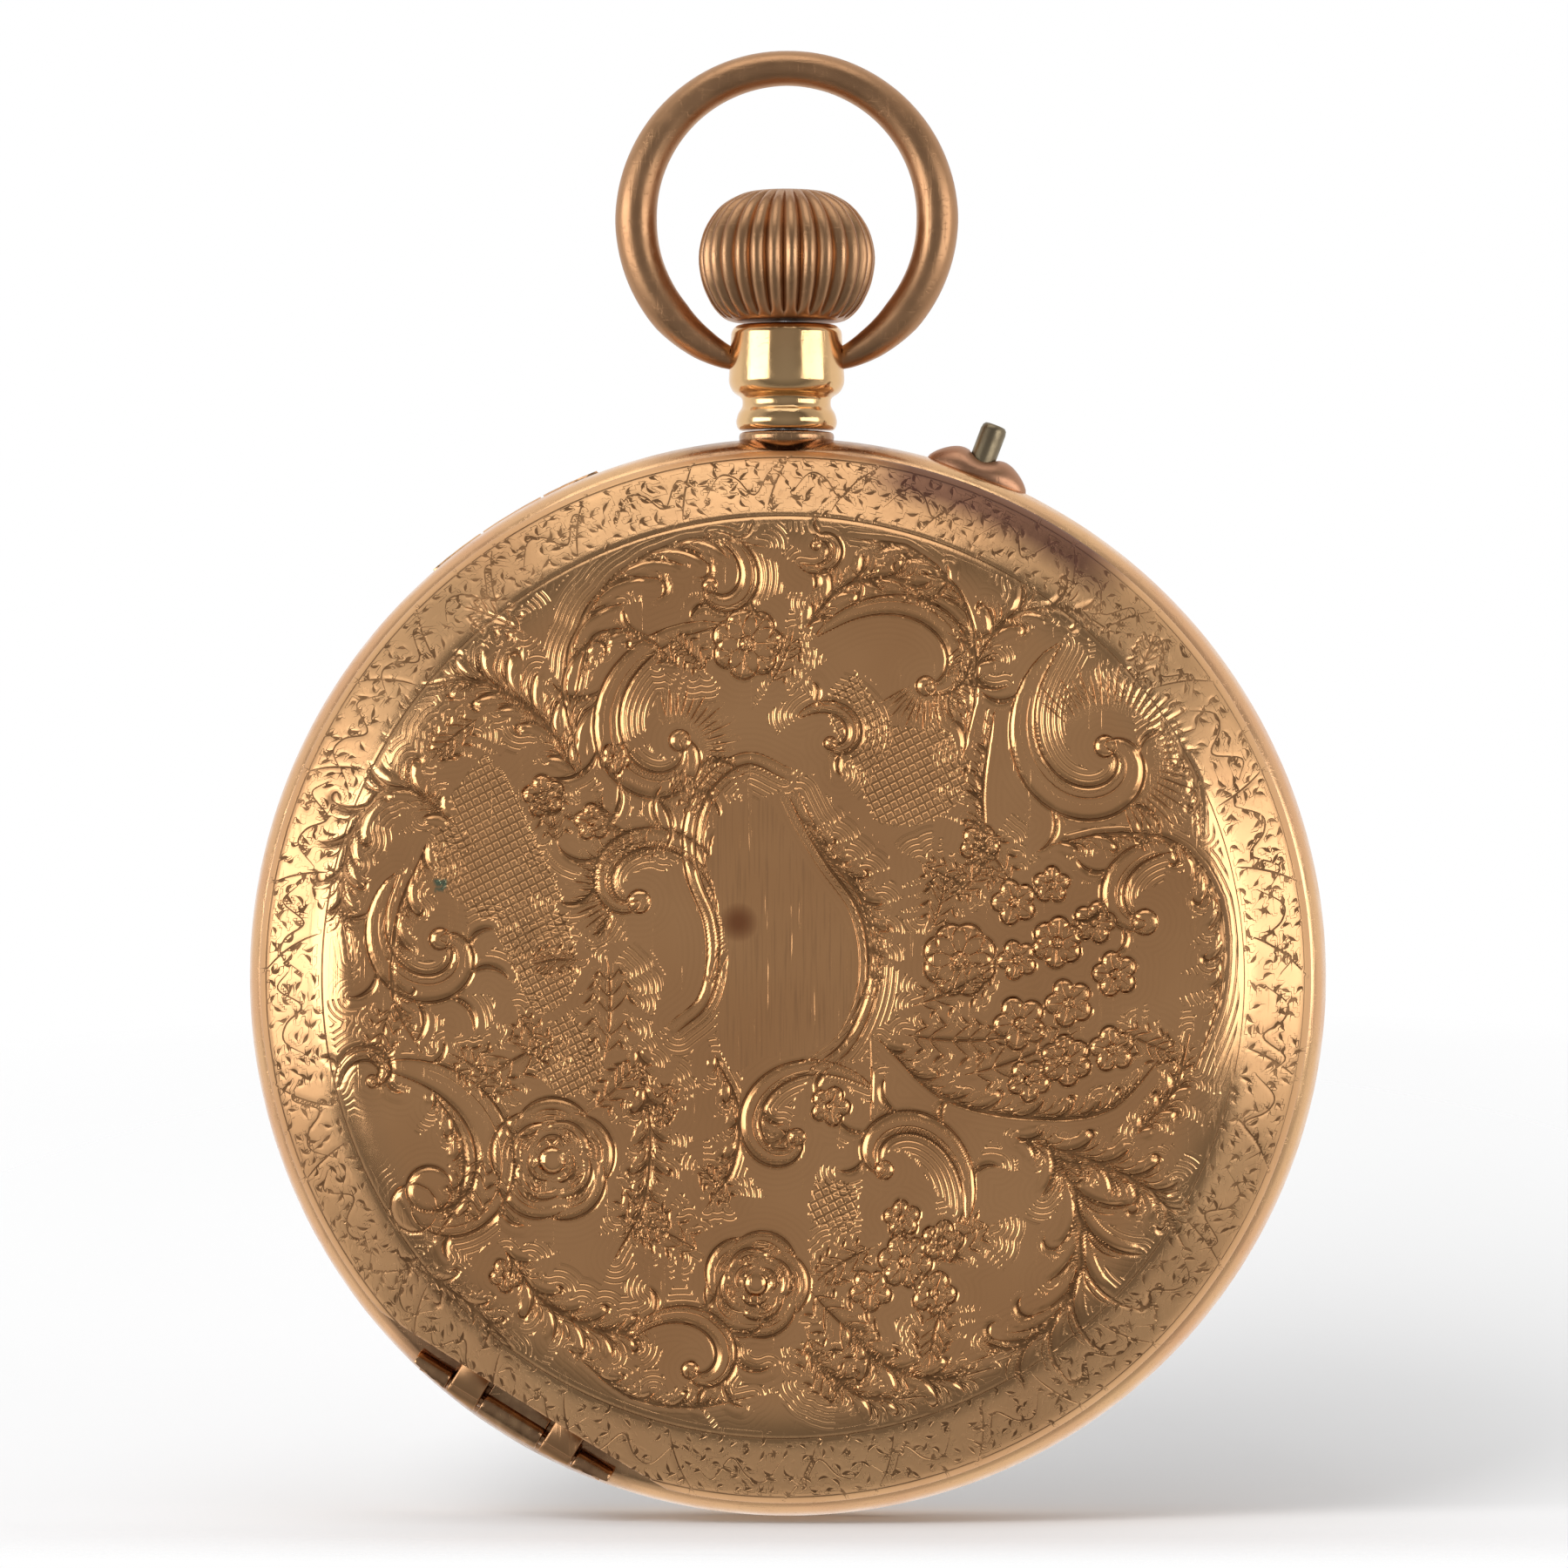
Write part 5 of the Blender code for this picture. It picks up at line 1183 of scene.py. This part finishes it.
def make_cuvette():
    """The inner dust cover, plain and polished, with its hinge arm."""
    profile = rounded([(0, 0.75), (14.6, 0.75), (16.2, 1.3), (16.9, 2.0), (16.9, 2.5), (16.5, 2.5),
                       (16.5, 2.15), (15.95, 1.55), (14.5, 1.05), (0, 1.05)], 0.5, 4)
    profile[0][0] = profile[-1][0] = 0
    parts = [spun(profile, 360),
             slab_at(BACK_HINGE[0], (16.6, 18.3), (-1.18, 1.18), (2.22, 2.48), 0.05),
             hinge_tube(BACK_HINGE, -1.2, 1.2)]
    return piece("plain_cuvette", joined(*parts), "cuvette_gold", "cuvette", "cuvette", sharp=50)


# ---------------------------------------------------------------- dial and hands

DIAL_FACE = 6.9
SECONDS = (0.0, -8.0)


def flat_slab(outline, back, front):
    """Points and faces of a flat shape of given depth; the outline is in x, z."""
    count = len(outline)
    points = [(x, back, z) for x, z in outline] + [(x, front, z) for x, z in outline]
    faces = [list(range(count)), [count + i for i in range(count)][::-1]]
    faces += [[i, count + i, count + (i + 1) % count, (i + 1) % count] for i in range(count)]
    return np.array(points), faces


def placed(outline, centre, turn):
    """An outline moved out to a centre and turned clockwise as the dial is read, from the front."""
    across, up = math.sin(math.radians(turn)), math.cos(math.radians(turn))
    return [(-(u * up + v * across + centre[0]), v * up - u * across + centre[1]) for u, v in outline]


def on_circle(middle, radius, turn):
    """A place on a circle of the dial, clockwise from 12."""
    a = math.radians(turn)
    return middle[0] + radius * math.sin(a), middle[1] + radius * math.cos(a)


def bar(x0, z0, x1, z1, width):
    """A stroke of a numeral, cut level at top and bottom."""
    return [(x0 - width / 2, z0), (x0 + width / 2, z0), (x1 + width / 2, z1), (x1 - width / 2, z1)]


def numeral(text):
    """The strokes of a Roman numeral two units tall, centred on the origin, and its width."""
    advance = {"I": 0.62, "V": 1.5, "X": 1.5}
    width = sum(advance[c] for c in text)
    strokes, x = [], -width / 2
    for c in text:
        middle = x + advance[c] / 2
        if c == "I":
            strokes.append(bar(middle, -1, middle, 1, 0.30))
        elif c == "V":
            strokes.append(bar(middle - 0.48, 1, middle + 0.04, -1, 0.32))
            strokes.append(bar(middle + 0.52, 1, middle + 0.04, -1, 0.10))
        else:
            strokes.append(bar(middle - 0.5, 1, middle + 0.5, -1, 0.32))
            strokes.append(bar(middle + 0.5, 1, middle - 0.5, -1, 0.10))
        x += advance[c]
    for z in (-1.0, 0.92):
        strokes.append([(-width / 2 + 0.03, z), (width / 2 - 0.03, z), (width / 2 - 0.03, z + 0.08),
                        (-width / 2 + 0.03, z + 0.08)])
    return strokes


def ring_slab(centre, inner, outer, back, front, segments):
    """A thin flat ring."""
    profile = [(inner, front), (outer, front), (outer, back), (inner, back)]
    return spun(profile, segments, "y", (centre[0], 0, centre[1]))


def make_dial():
    """White enamel with Roman hours, a railway minute track and small seconds, as raised print."""
    top, skin = DIAL_FACE + 0.03, DIAL_FACE + 0.002
    centre = (0, 0)
    hours = ["XII", "I", "II", "III", "IIII", "V", "", "VII", "VIII", "IX", "X", "XI"]
    strokes = []
    for i, text in enumerate(hours):
        for stroke in numeral(text) if text else []:
            sized = [(u * 0.72, v * 1.45) for u, v in stroke]
            strokes.append(placed(sized, on_circle(centre, 10.9, 30 * i), 30 * i))
    for middle, radius, fifth, other in ((centre, 13.95, (0.42, 0.16), (0.42, 0.055)),
                                         (SECONDS, 2.75, (0.24, 0.05), (0.14, 0.05))):
        for i in range(60):
            half, wide = other if i % 5 else fifth
            strokes.append(placed(bar(0, -half, 0, half, wide), on_circle(middle, radius, 6 * i), 6 * i))
    parts = [flat_slab(stroke, skin, top) for stroke in strokes]
    for middle, radius, half, segments in ((centre, 13.53, 0.03, 180), (centre, 14.37, 0.03, 180),
                                           (SECONDS, 2.45, 0.02, 96), (SECONDS, 3.02, 0.02, 96)):
        parts.append(ring_slab(middle, radius - half, radius + half, skin, top, segments))
    piece("dial_print", joined(*parts), "enamel", "case", look=INK)
    low, high = DIAL_FACE - 0.05, DIAL_FACE + 0.035
    steps = [ring_slab(SECONDS, 3.12, 3.2, low, high, 96), ring_slab(centre, 1.3, 1.42, low, high, 64)]
    piece("dial_steps", joined(*steps), "enamel", "case")


def make_hands():
    """Blued spade hands for the hours and minutes; the second hand stays the CAD's."""
    def spade(length, hub, shoulder, wide):
        left = [(-0.16, hub * 0.9), (-0.12, shoulder - 1.5), (-wide, shoulder - 0.55),
                (-wide * 1.05, shoulder), (-wide * 0.5, shoulder + 0.55), (-0.1, shoulder + 0.95),
                (-0.03, length)]
        return left + [(-u, v) for u, v in left[::-1]]

    for name, body, node, length, hub, bore, back, shoulder, wide in (
            ("spade_hour_hand", "hour_wheel", "hour_hand", 8.2, 1.5, 1.04, 7.3, 6.2, 0.9),
            ("spade_minute_hand", "center", "minute_hand", 12.6, 1.05, 0.58, 7.75, 10.2, 0.62)):
        blade = flat_slab([(-u, v) for u, v in spade(length, hub, shoulder, wide)], back, back + 0.16)
        hub_profile = rounded([(bore, back), (hub, back), (hub, back + 0.12), (hub - 0.25, back + 0.18),
                               (bore, back + 0.18)], 0.06, 3, closed=True)
        piece(name, joined(blade, spun(hub_profile, 64)), "blued_steel", body, node)


# ---------------------------------------------------------------- stage, light and camera

LAMP_AIM, LAMP_DISTANCE = (0, 4, 6), 420
CAMERA_AIM, CAMERA_DISTANCE = (0.0, 2.0, 6.75), 300.0
COVER_DEPTH = 2.0       # FRAME_WIDTH is measured this far in front of the camera's aim

def make_floor():
    """A wide pale sheet under the watch that rises a little behind it and fades out far away."""
    reach = np.concatenate([np.linspace(-3000, -300, 10), np.linspace(-250, 250, 41),
                            np.linspace(300, 3000, 10)])
    across, back = np.meshgrid(reach, reach, indexing="ij")
    climb = np.clip((back - 8) / 80, 0, 1)
    rise = 17 * climb ** 2 * (3 - 2 * climb)
    points = np.stack([across, back, FLOOR_Z + rise], -1).reshape(-1, 3)
    n = Nodes("paper_sweep")
    tint = n.mix(n.span(n.noise(0.02, 2), 0.35, 0.65), (0.74, 0.74, 0.745), (0.71, 0.71, 0.715))
    x, y, _ = n.axes()
    depth = n.math("MAXIMUM", y * -4.0, y * 0.7)
    solid = n.span(n.math("SQRT", x * x + depth * depth), 22, 66, 1.0, 0.0)
    material = n.finish(tint, 0.9, 0.0, Specular_IOR_Level=0.1, Alpha=solid,
                        Emission_Color=(1, 1, 1), Emission_Strength=0.04)
    floor = mesh_object("paper_sweep", points, grid_faces(len(reach), len(reach), wrap_columns=False),
                        material)
    floor.visible_glossy = False


def stand(obj, aim, azimuth, elevation, distance):
    """Puts a lamp or camera round a point, facing it; azimuth 0 is the watch's back, + is to the right."""
    a, e = math.radians(azimuth), math.radians(elevation)
    away = distance * Vector((math.sin(a) * math.cos(e), -math.cos(a) * math.cos(e), math.sin(e)))
    obj.location = (Vector(aim) + away) * MM
    obj.rotation_euler = (-away).to_track_quat("-Z", "Y").to_euler()
    bpy.context.scene.collection.objects.link(obj)


def softbox(name, azimuth, elevation, size, radiance):
    """A rectangular studio lamp."""
    lamp = bpy.data.lights.new(name, "AREA")
    lamp.shape = "RECTANGLE"
    lamp.size, lamp.size_y = size[0] * MM, size[1] * MM
    lamp.energy = radiance * math.pi * lamp.size * lamp.size_y
    obj = bpy.data.objects.new(name, lamp)
    obj.visible_camera = False
    stand(obj, LAMP_AIM, azimuth, elevation, LAMP_DISTANCE)
    return obj


def make_lamps():
    """Two wide softboxes beside the camera, one overhead, and a key that only lights the matt floor."""
    softbox("left_softbox", -58, 6, (360, 210), 3.3)
    softbox("right_softbox", 58, 6, (360, 210), 2.45)
    softbox("top_softbox", -15, 70, (420, 260), 1.1)
    key = softbox("floor_key", -36, 38, (200, 200), 9.0)
    key.visible_glossy = False


def make_world():
    """White to the camera; to everything else, dim in front of the watch and pale behind it."""
    world = bpy.data.worlds.new("studio")
    world.use_nodes = True
    bpy.context.scene.world = world
    nodes, link = world.node_tree.nodes, world.node_tree.links.new
    split = nodes.new("ShaderNodeSeparateXYZ")
    link(nodes.new("ShaderNodeTexCoord").outputs["Generated"], split.inputs[0])
    depth = nodes.new("ShaderNodeMapRange")
    depth.inputs["From Min"].default_value = -1.0
    link(split.outputs["Y"], depth.inputs["Value"])
    ramp = nodes.new("ShaderNodeValToRGB")
    link(depth.outputs[0], ramp.inputs[0])
    stops = ramp.color_ramp.elements
    stops[0].position, stops[0].color = 0.0, (0.30, 0.30, 0.31, 1)
    stops[1].position, stops[1].color = 1.0, (1.0, 1.0, 1.0, 1)
    for place, tone in ((0.08, 0.24), (0.2, 0.15), (0.32, 0.48), (0.5, 0.58), (0.62, 0.9)):
        stops.new(place).color = (tone, tone, tone, 1)
    mixed = nodes.new("ShaderNodeMix")
    mixed.data_type = "RGBA"
    link(nodes.new("ShaderNodeLightPath").outputs["Is Camera Ray"], mixed.inputs[0])
    link(ramp.outputs[0], mixed.inputs[6])
    mixed.inputs[7].default_value = (1.0, 1.0, 1.0, 1)
    link(mixed.outputs[2], nodes["Background"].inputs["Color"])


def make_camera():
    """A long lens a little to the right of the watch's axis, looking very slightly up."""
    data = bpy.data.cameras.new("camera")
    data.sensor_width = 36
    data.lens = 36 * (CAMERA_DISTANCE - COVER_DEPTH) / FRAME_WIDTH
    data.clip_start, data.clip_end = 0.01, 20
    camera = bpy.data.objects.new("camera", data)
    stand(camera, CAMERA_AIM, 2.5, -1.0, CAMERA_DISTANCE)
    bpy.context.scene.camera = camera


make_camera()
dress_cad_nodes()
make_back_cover()
make_case_middle()
make_olivette()
make_crown()
make_bow()
make_pendant()
make_setting_pin()
make_bezel()
make_crystal()
make_cuvette()
make_dial()
make_hands()
make_floor()
make_lamps()
make_world()
bpy.context.scene.view_settings.view_transform = "Standard"
